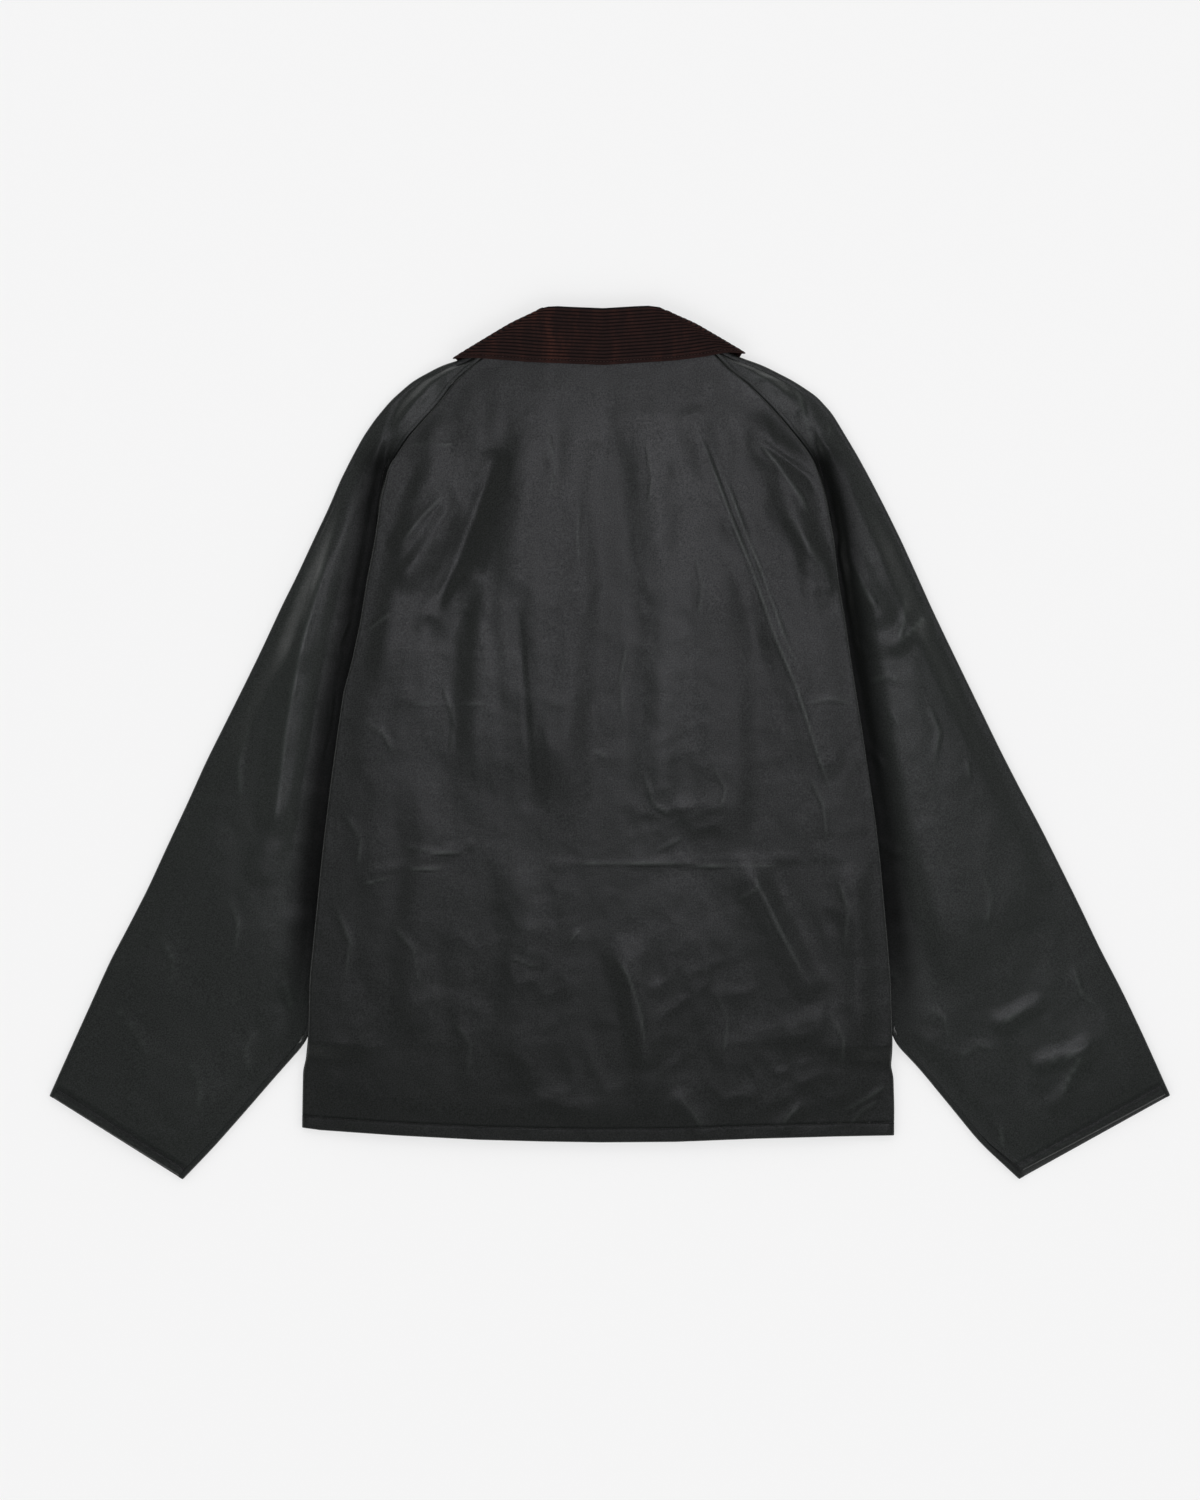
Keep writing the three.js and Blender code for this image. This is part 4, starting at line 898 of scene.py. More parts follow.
# How far stitches and seams pull each cloth in.
BACK_STITCH_DEPTH = 0.22
BACK_SEAM_DEPTH = 0.5
SLEEVE_STITCH_DEPTH = 0.2
SLEEVE_SEAM_DEPTH = 0.45
UNDER_STITCH_DEPTH = 0.3
FRONT_STITCH_DEPTH = 0.25

# Marks that the materials read, by what makes them: their strength, and a stitch line's reach.
STITCH_MARK = 0.7
STITCH_REACH = 1.4
# How far sewn lines dull the shine, as painted shade.
SEWN_DULLED_SHADE = 0.6
SLEEVE_CREASE_LIGHT = 0.6
UNDER_CREASE_LIGHT = 0.35
UNDER_WORN_AND_SHEEN = 0.6
BODY_EDGE_SHADE_MARK = 1.3
END_SEAM_MARK = 0.25

# Back panel.
TURN = 8
BACK_TOP = 372
BACK_ROWS = 292
BACK_COLUMNS = 244


def back_edge(y, side):
    """The raglan seam above the folded side, and the body's side below."""
    return np.where(y > FOLD_START, column(RAGLAN, "y", side, y), body(side, y))


def back_floor(x, y, inset):
    """Height that the back's underside lies at, with the largest folds."""
    tuck = body("tuck", y)
    share = smooth(0, 1, (inset - tuck - 2) / (MIDDLE_BLEND - 2))
    flat = mix(body("edge", y), body("middle", y), share)
    free = smooth(0, 12, inset) * smooth(16, 34, np.abs(x - CENTRE_FRONT))
    return flat + fold_height(BACK_FOLDS, x, y) * free


def pucker(x, distance):
    """Short ridges square to a stitched edge, at uneven places along it."""
    height = np.zeros(np.broadcast(x, distance).shape)
    for i, place in enumerate(HEM_PUCKERS):
        lean = 0.35 * math.sin(i * 2.3)
        reach = 12 + 9 * math.sin(i * 1.9 + 1)
        across = np.abs(x - place - lean * distance) / (2.6 + 1.3 * math.sin(i * 3.1))
        rise = 0.2 + 0.12 * math.sin(i * 2.7)
        height += rise * smooth(0, 1, 1 - across) * smooth(0, 1, 1 - np.abs(distance - 3) / reach)
    return height


def edge_rounding(distance, reach, least):
    """Share of its thickness that a cloth has at a distance from its rounded edge."""
    return np.sqrt(np.clip(1 - (1 - np.clip(distance / reach, 0, 1)) ** 2, least, 1))


def hem_rounding(distance):
    return edge_rounding(distance, 0.9, 0.06)


def row_heights(top, count, hem_distances):
    """Places of rows from the hem up to the top, with further ones close to the hem."""
    return np.unique([*np.linspace(top, HEM_NOMINAL, count), *(HEM_NOMINAL + d for d in hem_distances)])


def build_back():
    """The back panel, its upper face, and each point's distance from the hem."""
    row_y = row_heights(BACK_TOP, BACK_ROWS, (15.5, 14, 12.8, 12.3, 11.8, 11, 1.2, 0.6, 0.2))
    left = softened(back_edge(row_y, "left"), 3)
    right = softened(back_edge(row_y, "right"), 3)
    tuck = body("tuck", row_y)
    edge = softened(body("edge", row_y), 4) + CLOTH / 2
    dropped = smooth(0, 1, (TUCK_DROP[0] - row_y) / (TUCK_DROP[0] - TUCK_DROP[1]))
    under = mix(edge - LAYER, CLOTH / 2, dropped)
    columns = BACK_COLUMNS + 2 * (TURN + 2)
    p = np.zeros((len(row_y), columns, 3))
    for j, y in enumerate(row_y):
        inset, height = turned_edge(tuck[j], under[j], edge[j], TURN)
        x = np.linspace(left[j] + inset[-1], right[j] - inset[-1], BACK_COLUMNS + 2)[1:-1]
        place = np.concatenate([left[j] + inset, x, right[j] - inset[::-1]])
        inside = np.minimum(x - left[j], right[j] - x)
        soft = soft_lift(BACK_RIDGES, BACK_SOFTNESS, x, y)
        calm = smooth(1, 34, inside) * smooth(4, 40, y - HEM_NOMINAL) * smooth(BACK_TOP, 330, y)
        middle = back_floor(x, y, inside) + CLOTH / 2 + soft * calm
        p[j] = np.stack([place, body_y(place, y), np.concatenate([height, middle, height[::-1]])], axis=1)
    x, y = p[..., 0], p[..., 1]
    distance = np.repeat((row_y - HEM_NOMINAL)[:, None], columns, axis=1)
    inside = np.minimum(x - left[:, None], right[:, None] - x)
    main = np.zeros(columns)
    main[TURN + 2:-TURN - 2] = 1
    relief, light = creases(BACK_CREASES, x, y)
    relief = relief * smooth(2, 16, inside)
    relief += swells(BACK_SWELLS, x, y)
    stitched = band(distance, HEM_STITCH, 0, 1.5)
    hem = HEM_EXTRA * (1 - smooth(HEM_STITCH - 0.4, HEM_STITCH + 0.9, distance))
    relief = relief * smooth(4, 22, distance) + 1.7 * pucker(x, distance) * smooth(0, 2.5, distance)
    relief += hem - BACK_STITCH_DEPTH * stitched
    upper = smooth(FOLD_START - 4, FOLD_START + 6, row_y)[:, None]
    seam = (1 - smooth(0, 1.6, inside)) * upper
    rounding = hem_rounding(distance)
    marks = {
        "crease": light * main,
        "worn_and_sheen": worn_and_sheen(x, y),
        "seam": np.maximum(seam * main, STITCH_MARK * stitched),
        # Painted shade: the shine is dulled along the hem's stitched step, which would catch the light.
        "dulled_shade": SEWN_DULLED_SHADE * band(distance, HEM_STITCH + 0.4, 0.8, 2.6),
    }
    keep = [*range(0, TURN + 3), *range(columns - TURN - 3, columns)]
    relief = (relief - BACK_SEAM_DEPTH * seam) * main * rounding
    return wall("back_cloth", p, CLOTH * rounding, relief, keep=keep, marks=marks), distance


# Sleeves, in a row for each fractional index down the table.
NECK_EASE = 0.2
RAMP_EASE = 0.2
UPPER_STEP = 1.6
UPPER_FOLD_MAX = 0.7
UPPER_END_MIN = 0.4
FOLD_SHARES = (0.06, 0.8)
UPPER_ROWS = 250
LOWER_ROWS = 230
UPPER_COLUMNS = (14, 74)
LOWER_COLUMNS = (16, 14, 34)
LOWER_EDGE_STEPS = 6
CUFF_ROW_DISTANCES = (0.3, 0.6, 0.9, 8.6, 9.1, 9.6, 10.2, 11)
RAMP_START = -9
RAMP_END = 28


def sleeve_rows(source, cuff_inset, count):
    """Index of each row, the table's columns there, and the distance from the cuff."""
    last = len(source["ux"]) - 1
    length = math.hypot(source["ox"][-1] - source["ox"][-2], source["oy"][-1] - source["oy"][-2])
    end = last - cuff_inset / length
    index = np.linspace(0, end, count)
    near = np.array(CUFF_ROW_DISTANCES) / length
    index = np.unique(np.concatenate([index, end - near]))
    names = {name: softened(np.interp(index, np.arange(last + 1), source[name]), 4) for name in source}
    return index, names, (end - index) * length


def fold_share(fx, fy, tx, ty, side):
    """Share of the way across a sleeve at which it meets the body's side."""
    share = np.zeros_like(fx)
    for _ in range(8):
        share = np.clip((body(side, mix(fy, ty, share)) - fx) / (tx - fx), 0, 1)
    return np.clip(share, *FOLD_SHARES)


def obliquity(row, fx, fy):
    """How much longer a step across the sleeve is than the same step square to its edge."""
    edge = np.stack([np.gradient(row["ox"]), np.gradient(row["oy"])])
    edge /= np.linalg.norm(edge, axis=0)
    along = np.stack([row["ox"] - fx, row["oy"] - fy])
    along /= np.linalg.norm(along, axis=0)
    return 1 / np.abs(edge[0] * along[1] - edge[1] * along[0])


def across_rows(row, start, share):
    """Places of the sleeve's rows of points from its seam, start, to its outer edge."""
    return [mix(row[start + axis][:, None], row["o" + axis][:, None], share) for axis in "xy"]


def build_sleeve_upper(source, side):
    """Upper half of a sleeve, its upper face, and where the face's points are on it."""
    index, row, distance = sleeve_rows(source, CUFF_BACK_INSET[side], UPPER_ROWS)
    width = np.hypot(row["ox"] - row["ux"], row["oy"] - row["uy"])
    oblique = obliquity(row, row["ux"], row["uy"])
    neck_ease = NECK_EASE * (1 - smooth(1.5, 4.5, index))
    end = np.maximum(UPPER_END_MIN, 1 - (OVERARM_LIP + 0.06 + neck_ease) * oblique / width)
    fold = np.minimum(fold_share(row["ux"], row["uy"], row["ox"], row["oy"], side), end * UPPER_FOLD_MAX)
    step = UPPER_STEP / width
    before, after = UPPER_COLUMNS
    share = [(fold - step) * part for part in np.linspace(0, 1, before)]
    share += [mix(fold - step, fold + step, part) for part in (0.33, 0.66)]
    share += [mix(fold + step, end, part) for part in np.linspace(0, 1, after)]
    share = np.stack(share, axis=1)
    x, y = across_rows(row, "u", share)
    across = share / end[:, None]
    past = np.clip((share - fold[:, None]) / (1 - fold[:, None]), 0, 1)
    fold_x = body(side, y)
    inside = x - fold_x if side == "left" else fold_x - x
    step_width = mix(mix(UPPER_STEP, 11, smooth(258, 280, y)), 30, smooth(320, 352, y))
    inset = body_inset(x, y)
    ease = RAMP_EASE * smooth(-FRONT_RAMP - 14, -FRONT_RAMP, inset) * (1 - smooth(0, 8, inset))
    base = sleeve_front_floor(x, y) + LAYER + ease
    raised = np.maximum(0, row["rise"][:, None] - LAYER * over_front(x, y))
    rise = raised * smooth(0, 1, (inside + step_width) / (2 * step_width)) * (1 - smooth(0.55, 1, across))
    full = row["dome"][:, None] * np.sin(np.pi * past) * (1 - smooth(-14, 0, inset))
    free = smooth(0, 0.12, past) * smooth(0, 0.12, 1 - past)
    distance = np.repeat(distance[:, None], share.shape[1], axis=1)
    from_seam = share * width[:, None]
    from_edge = (end[:, None] - share) * width[:, None]
    clear = np.maximum(smooth(-2, 12, -inset), smooth(262, 292, y))
    calm = smooth(0, 24, from_edge) * smooth(2, 22, from_seam) * clear * smooth(0, 30, distance)
    soft = soft_lift(SLEEVE_RIDGES, SLEEVE_SOFTNESS, x, y) * calm
    z = base + rise + full + fold_height(SLEEVE_FOLDS, x, y) * free + soft + CLOTH / 2
    p = np.stack([x, y, z], axis=2)
    stitched = band(distance, CUFF_STITCH, 0, STITCH_REACH)
    cuff = HEM_EXTRA * (1 - smooth(CUFF_STITCH - 0.4, CUFF_STITCH + 0.8, distance))
    cuff += 0.1 * np.sin(from_seam * 0.55 + 2 * np.sin(from_seam * 0.11)) * band(distance, 7, 0, 9)
    relief, light = creases(SLEEVE_CREASES, x, y)
    relief += swells(SLEEVE_SWELLS, x, y)
    upper = 1 - smooth(8, 9.5, index)[:, None]
    topstitch = band(from_seam, SEAM_STITCH, 0, 1.3) * upper
    seam = (1 - smooth(0, 1.4, from_seam)) * upper
    edge_free = smooth(0, 9, from_edge) * smooth(0, 9, from_seam)
    relief = relief * edge_free * smooth(3, 16, distance) + cuff
    relief -= SLEEVE_STITCH_DEPTH * (stitched + topstitch) + SLEEVE_SEAM_DEPTH * seam
    rounding = hem_rounding(distance)
    # Painted shade: the sleeve next to the body's edge is darkened and its shine dulled, where the body's edge shades
    # it.
    body_edge_shade = (1 - smooth(9, 36, -inset)) * smooth(300, 262, y) * smooth(-330, -150, y)
    marks = {
        "crease": SLEEVE_CREASE_LIGHT * light * edge_free,
        "worn_and_sheen": worn_and_sheen(x, y),
        "seam": np.maximum.reduce([
            seam, STITCH_MARK * topstitch, STITCH_MARK * stitched, BODY_EDGE_SHADE_MARK * body_edge_shade,
        ]),
        "dulled_shade": np.maximum(body_edge_shade, SEWN_DULLED_SHADE * band(distance, CUFF_STITCH + 0.4, 0.8, 2.4)),
    }
    made, up = wall(
        f"sleeve_{side}_upper", p, CLOTH * rounding, relief * rounding,
        keep=range(before - 1, before + 3), flip=side == "right", marks=marks,
    )
    order = slice(None, None, -1 if side == "right" else 1)
    return made, up, {"index": index[order], "from_seam": from_seam[order], "distance": distance[order]}


def build_sleeve_lower(source, side):
    """Lower half of a sleeve, turned up round both edges to meet the upper half."""
    _, row, distance = sleeve_rows(source, 0, LOWER_ROWS)
    width = np.hypot(row["ox"] - row["lx"], row["oy"] - row["ly"])
    oblique = obliquity(row, row["lx"], row["ly"])
    fold = np.maximum(fold_share(row["lx"], row["ly"], row["ox"], row["oy"], side) * width, 12)
    ramp_end = np.minimum(fold, width * 0.6)
    inner, inner_lift = turned_edge(UNDERARM_LIP, CLOTH / 2 + LAYER, CLOTH / 2, LOWER_EDGE_STEPS)
    outer, outer_lift = turned_edge(OVERARM_LIP, CLOTH / 2 + LAYER, CLOTH / 2, LOWER_EDGE_STEPS)
    narrow = np.minimum(1, width / 120)
    before, on_ramp, after = LOWER_COLUMNS
    ramp = [ramp_end + place * narrow for place in np.linspace(RAMP_START, RAMP_END, on_ramp)]
    last = width - outer[-1] * oblique
    inset = [np.full_like(width, value) for value in inner]
    inset += [mix(inner[-1], ramp[0], part) for part in np.linspace(0, 1, before)[1:-1]]
    inset += ramp
    inset += [mix(ramp[-1], last, part) for part in np.linspace(0, 1, after)[1:-1]]
    inset += [width - value * oblique for value in outer[::-1]]
    inset = np.stack(inset, axis=1)
    count = inset.shape[1]
    flat = np.zeros(count)
    flat[len(inner):-len(outer)] = 1
    lift = np.full(count, CLOTH / 2)
    lift[:len(inner)] = inner_lift
    lift[-len(outer):] = outer_lift[::-1]
    x, y = across_rows(row, "l", inset / width[:, None])
    p = np.stack([x, y, sleeve_front_floor(x, y) + lift], axis=2)
    distance = np.repeat(distance[:, None], count, axis=1)
    groove, light = creases(UNDER_CREASES, x, y)
    stitched = band(distance, CUFF_STITCH, 0, STITCH_REACH) * flat
    edge_free = smooth(0, 10, inset) * smooth(0, 10, width[:, None] - inset)
    relief = groove * edge_free * flat - UNDER_STITCH_DEPTH * stitched
    end_seam = np.zeros(count)
    end_seam[[0, -1]] = 1
    rounding = hem_rounding(distance)
    marks = {
        "crease": UNDER_CREASE_LIGHT * light * flat,
        "worn_and_sheen": worn_and_sheen(x, y) * UNDER_WORN_AND_SHEEN,
        "seam": np.maximum(STITCH_MARK * stitched, END_SEAM_MARK * end_seam),
    }
    keep = [*range(0, len(inner) + 1), *range(count - len(outer) - 1, count)]
    return wall(
        f"sleeve_{side}_lower", p, CLOTH * rounding, relief * rounding,
        keep=keep, flip=side == "left", marks=marks,
    )[0]


# Front panels. Columns and stitch lines near the closure are distances across it.
CLOSURE_LINES = (-PLACKET_HALF - BAND_STITCH, PLACKET_HALF - CLOSURE_STITCH)
FRONT_TOP = 320.5
FRONT_ROWS = 210
FRONT_COLUMNS = 71
CLOSURE_COLUMNS = {
    "left": [40, 29, 28, 27, 16, 8, 0, -8, -14, -PLACKET_HALF],
    "right": [37, 32, 27, 23, 19, 12, 6, 0, -8, -PLACKET_HALF],
}


def build_front(side):
    """A front panel, its face on the floor, and where the face's points are on it."""
    sign = -1 if side == "left" else 1
    row_y = row_heights(FRONT_TOP, FRONT_ROWS, (13.2, 12.4, 11.6, 0.8, 0.3))[::-1]
    raglan = CENTRE_FRONT + sign * column(FRONT_RAGLAN, "y", "across", row_y)
    fold = body(side, row_y) - sign * FRONT_INSET
    outer = softened(mix(fold, raglan, smooth(FRONT_SIDE_TOP, FRONT_SIDE_TOP + 8, row_y)), 2)
    parts = np.linspace(0, 1, len(CLOSURE_COLUMNS[side]))
    neck = CENTRE_FRONT + sign * column(FRONT_NECK, "y", "across", row_y)
    above = row_y > FRONT_NECK["y"][0]
    placket = CENTRE_FRONT + sign * np.array(CLOSURE_COLUMNS[side])
    start = np.where(above, mix(outer, neck, 0.4), placket[0])
    inner = np.where(above[:, None], mix(start[:, None], neck[:, None], parts[None, :]), placket[None, :])
    main = np.linspace(0, 1, FRONT_COLUMNS + 1)[:-1]
    x = np.concatenate([mix(outer[:, None], start[:, None], main[None, :]), inner], axis=1)
    y = body_y(x, row_y[:, None]) + FRONT_HEM_SHORT * smooth(0, 1, hem_share(row_y))[:, None]
    across = x - CENTRE_FRONT
    if side == "left":
        doubled, over = smooth(-PLACKET_HALF - 14, -PLACKET_HALF - 12, across), 0
    else:
        doubled, over = 0, 1 - smooth(PLACKET_HALF + 4, PLACKET_HALF + 22, across)
    t = mix(CLOTH, PLACKET_CLOTH, doubled)
    z = leaf_lift(x, y) + (PLACKET_LIFT + NECK_LAP_EASE * smooth(258, 288, y)) * over + t / 2
    distance = np.repeat((row_y - HEM_NOMINAL)[:, None], x.shape[1], axis=1)
    stitched = band(distance, HEM_STITCH, 0, STITCH_REACH)
    groove, light = creases(UNDER_CREASES, x, y)
    lip = np.abs(x - outer[:, None])
    seam = 1 - smooth(0, 1.6, lip)
    free = smooth(0, 12, lip)
    under = groove * free - FRONT_STITCH_DEPTH * (stitched + seam)
    if side == "left":
        lines = [band(across, place, 0, STITCH_REACH) for place in CLOSURE_LINES]
        under -= FRONT_STITCH_DEPTH * np.maximum(*lines)
    top = 0.3 * (1 - smooth(HEM_STITCH - 0.5, HEM_STITCH + 0.8, distance))
    marks = {
        "crease": UNDER_CREASE_LIGHT * light * free,
        "worn_and_sheen": worn_and_sheen(x, y) * UNDER_WORN_AND_SHEEN,
        "seam": np.maximum(STITCH_MARK * stitched, seam),
    }
    rounding = hem_rounding(distance)
    keep = range(x.shape[1] - len(parts) - 2, x.shape[1])
    # The wall is built with the fine face down, so that its creases show from below.
    made, face = wall(
        f"front_{side}_cloth", np.stack([x, y, z], axis=2), t * rounding, under * rounding, top,
        keep=keep, flip=side == "right", marks=marks,
    )
    order = slice(None, None, -1 if side == "right" else 1)
    return made, face, {"across": across, "distance": distance[order]}


# Collar.
def resampled(source, spacing):
    """Table rows with further ones between them, about spacing apart along the fall edge."""
    index = [0.0]
    for i in range(len(source["rx"]) - 1):
        reach = math.hypot(source["fx"][i + 1] - source["fx"][i], source["fy"][i + 1] - source["fy"][i])
        turned = abs(source["turn"][i + 1] - source["turn"][i])
        count = max(2, round(reach / spacing), round(turned / 11))
        index += list(i + np.arange(1, count + 1) / count)
    index = np.array(index)
    return {name: np.interp(index, np.arange(len(source["rx"])), source[name]) for name in source}


WALE_STEPS = 6
ROLL_STEPS = 8
STAND_STEPS = 16
FALL_STEPS = WALE_STEPS * WALES
COLLAR_SPACING = 2.6


def collar_half(source, stand_end):
    """Points of half the collar, share across it, and how far its rows are on top and level."""
    row = resampled(source, COLLAR_SPACING)
    count = len(row["rx"])
    stand = np.zeros(count)
    tail = row["fy"] < 300
    stand[tail] = stand_end * smooth(0, 1, (291 - row["fy"][tail]) / 24)
    angle = np.radians(row["turn"])
    sideways = (np.abs(row["turn"]) < 89.99).astype(float)
    direction = np.stack([row["rx"] - row["fx"], row["ry"] - row["fy"]])
    direction /= np.linalg.norm(direction, axis=0)
    on_top = smooth(-80, -20, row["turn"])
    points, shares = [], []

    def place(start, end, part, radius, share, shift=0, reach=0):
        x = mix(row[start + "x"], row[end + "x"], part) + direction[0] * reach
        y = mix(row[start + "y"], row[end + "y"], part) + direction[1] * reach
        out_x = mix(np.sign(row["ox"]), row["ox"], share)
        out_y = mix(0, row["oy"], share)
        length = np.hypot(out_x, out_y)
        shrink = 1 - 0.75 * smooth(0.6, 1.0, share)
        scale = sideways * np.cos(angle) * radius * shrink / np.where(length > 0, length, 1)
        z = COLLAR_MIDDLE + np.sin(angle) * radius + shift
        points.append(np.stack([x + out_x * scale, y + out_y * scale, z], axis=1))

    for step in range(FALL_STEPS + 1):
        share = step / FALL_STEPS
        place("f", "r", share, COLLAR_HALF_STACK, share)
        shares.append(share)
    for step in range(1, ROLL_STEPS):
        bend = math.pi * step / ROLL_STEPS
        reach = ROLL_RADIUS * math.sin(bend)
        radius = COLLAR_HALF_STACK - ROLL_RADIUS * (1 - math.cos(bend))
        place("r", "r", 0, radius, 1, reach=reach)
        shares.append(1 + 0.02 * step)
    for step in range(STAND_STEPS + 1):
        share = step / STAND_STEPS
        place("r", "s", share, STAND_HALF_STACK, 1, shift=stand * share * share)
        shares.append(1.2 + share)
    return np.stack(points, axis=1), np.array(shares), on_top, np.abs(np.sin(angle))


def build_collar():
    """The collar, the upper face of its fall, and each point's distance from the rim."""
    left, shares, left_top, left_flat = collar_half(COLLAR_LEFT, STAND_END_LEFT)
    right, _, right_top, right_flat = collar_half(COLLAR_RIGHT, STAND_END_RIGHT)
    joined = lambda a, b: np.concatenate([a[::-1], b])[::-1]
    p = joined(left, right)
    on_top = joined(left_top, right_top)[:, None]
    level = 0.4 + 0.6 * joined(left_flat, right_flat)[:, None]
    shares = shares[None, :]
    fall = (shares <= 1).astype(float)
    rim = (1 - smooth(0.95 / WALES, 1.15 / WALES, shares)) * fall
    phase = np.abs(np.sin(np.pi * np.clip(shares, 0, 1) * WALES))
    crown = phase ** 0.55 * (1 - rim) * fall
    across = np.clip(shares, 0, 1) * COLLAR_FALL
    stitched = band(across, COLLAR_STITCH, 0, 0.8) * fall
    uneven = 1 + 0.12 * swell(p[..., 0], p[..., 1], 14, 11)
    relief_top = WALE_HEIGHT * crown * uneven + RIM_HEIGHT * rim
    relief_under = UNDER_WALE_HEIGHT * (crown * uneven - 1) * (1 - rim) * fall
    relief = (mix(relief_under, relief_top, on_top) - COLLAR_STITCH_DEPTH * stitched) * level
    edge = np.where(shares <= 1, edge_rounding(across, 1.1, 0.08), 1)
    marks = {"crown": crown + 0.75 * rim + 0.5 * (1 - fall), "rim": rim, "seam": stitched}
    keep = [1, 2, 3, *range(FALL_STEPS - 1, FALL_STEPS + ROLL_STEPS + 2)]
    made, up = wall("collar_cord", p, COLLAR_CLOTH * edge, relief * edge, keep=keep, marks=marks)
    return made, up[:, :FALL_STEPS + 1], np.repeat(across[:, :FALL_STEPS + 1], len(p), axis=0)


# Press studs of the closure: cap on the outer side, which lies on the floor, and its socket.
def turned(name, y, profile, sharp=35):
    """Solid turned about an upright line on the closure, where its profile starts and ends."""
    rings = profile[1:-1]
    points = [(CENTRE_FRONT, y, profile[0][1])]
    for radius, height in rings:
        for side in range(STUD_SIDES):
            angle = 2 * math.pi * side / STUD_SIDES
            points.append((CENTRE_FRONT + radius * math.cos(angle), y + radius * math.sin(angle), height))
    points.append((CENTRE_FRONT, y, profile[-1][1]))
    at = lambda ring, side: 1 + ring * STUD_SIDES + side % STUD_SIDES
    top = len(rings) - 1
    faces = []
    for side in range(STUD_SIDES):
        faces.append((0, at(0, side + 1), at(0, side)))
        faces += [(at(k, side), at(k, side + 1), at(k + 1, side + 1), at(k + 1, side)) for k in range(top)]
        faces.append((at(top, side), at(top, side + 1), len(points) - 1))
    return piece(name, np.array(points), faces, sharp=sharp)


def build_stud(number, y):
    """A press stud: its cap on the floor, the post through both fronts, and its socket."""
    cap, socket = STUD_CAP, STUD_TOP
    low = PLACKET_LIFT + CLOTH + SEAM_GAP
    high = low + STUD_TOP_HEIGHT
    return turned(f"stud_{number}", y, [
        (0, 0.14), (cap - 3.1, 0.14), (cap - 2.75, 0.1), (cap - 2.55, 0), (cap - 0.6, 0), (cap - 0.25, 0.1),
        (cap, 0.32), (cap, 0.55), (cap - 0.2, 0.74), (cap - 0.6, STUD_CAP_HEIGHT),
        (STUD_POST, STUD_CAP_HEIGHT), (STUD_POST, low),
        (socket - 0.3, low), (socket - 0.05, low + 0.1), (socket, low + 0.3), (socket - 0.2, high - 0.1),
        (socket - 0.6, high), (socket - 2.8, high), (socket - 3.1, high - 0.18), (0, high - 0.18),
    ])


def cut_out(cloth, y, profile):
    """Take a round hole of the given profile out of a cloth, along the closure."""
    cutter = turned("hole", y, profile, None)
    made = cloth.modifiers.new("hole", "BOOLEAN")
    made.operation, made.solver, made.object = "DIFFERENCE", "EXACT", cutter
    with bpy.context.temp_override(object=cloth, active_object=cloth):
        bpy.ops.object.modifier_apply(modifier=made.name)
    mesh = cutter.data
    bpy.data.objects.remove(cutter)
    bpy.data.meshes.remove(mesh)


# A stitch's rings: place along its length, share of its radius, and lift in radii.
STITCH_RINGS = table(
    "along fat lift",
    (-0.5, 0.15, -1.6),
    (-0.32, 1, 0),
    (0, 1.12, 0.35),
    (0.32, 1, 0),
    (0.5, 0.15, -1.6),
)
STITCH_SIDES = 5
STITCH_PITCH = 3.2
STITCH_LENGTH = 2.5


def thread(name, lines, radius=0.2, sink=0.3):
    """Stitches along lines of points on the cloth, each line with the direction out of it."""
    ring = STITCH_SIDES
    last = (len(STITCH_RINGS["along"]) - 1) * ring
    points, faces = [], []
    for line, out in lines:
        steps = np.linalg.norm(np.diff(line, axis=0), axis=1)
        travel = np.concatenate([[0], np.cumsum(steps)])
        sample = lambda s: np.stack([np.interp(s, travel, line[:, k]) for k in range(3)], axis=-1)
        for s in np.arange(STITCH_PITCH / 2, travel[-1] - STITCH_PITCH / 2, STITCH_PITCH):
            centre = sample(s)
            along = sample(s + 0.6) - sample(s - 0.6)
            along /= np.linalg.norm(along) + 1e-9
            side = np.cross(along, out)
            side /= np.linalg.norm(side) + 1e-9
            up = np.cross(side, along)
            first = len(points)
            for offset, fat, lift in zip(*STITCH_RINGS.values()):
                middle = centre + along * offset * STITCH_LENGTH + up * (lift + 1 - sink) * radius
                for k in range(ring):
                    angle = 2 * math.pi * k / ring
                    points.append(middle + (side * math.cos(angle) + up * math.sin(angle)) * radius * fat)
            for start in range(first, first + last, ring):
                for k in range(ring):
                    a, b = start + k, start + (k + 1) % ring
                    faces.append((a, b, b + ring, a + ring))
            faces.append([*range(first, first + ring)][::-1])
            faces.append([*range(first + last, first + last + ring)])
    return piece(name, np.array(points), faces, sharp=0)


def surface_line(grid, values, level, axis=0):
    """Line across a grid's outer points at which values reach level, along one axis."""
    points, values = (grid, values) if axis == 0 else (np.swapaxes(grid, 0, 1), values.T)
    line = []
    for k in range(points.shape[1]):
        keys = values[:, k]
        order = np.argsort(keys)
        line.append([np.interp(level, keys[order], points[order, k, c]) for c in range(3)])
    return np.array(line)


UP = np.array([0.0, 0.0, 1.0])
DOWN = -UP


# Materials. Sums of values find the node tree from the sockets that they are given.
def material(name):
    made = bpy.data.materials.new(name)
    made.use_nodes = True
    tree = made.node_tree
    return made, tree, tree.nodes["Principled BSDF"]


def node(tree, kind, values=None, inputs=None, **links):
    made = tree.nodes.new(kind)
    for key, value in (values or {}).items():
        setattr(made, key, value)
    for key, value in (inputs or {}).items():
        made.inputs[key].default_value = value
    for key, source in links.items():
        tree.links.new(source, made.inputs[key.replace("_", " ")])
    return made


def connect(inputs, values):
    """Set each input to its number or colour, or link it to its socket."""
    for socket, value in zip(inputs, values):
        if isinstance(value, bpy.types.NodeSocket):
            value.id_data.links.new(value, socket)
        else:
            socket.default_value = (*value, 1) if isinstance(value, tuple) else value


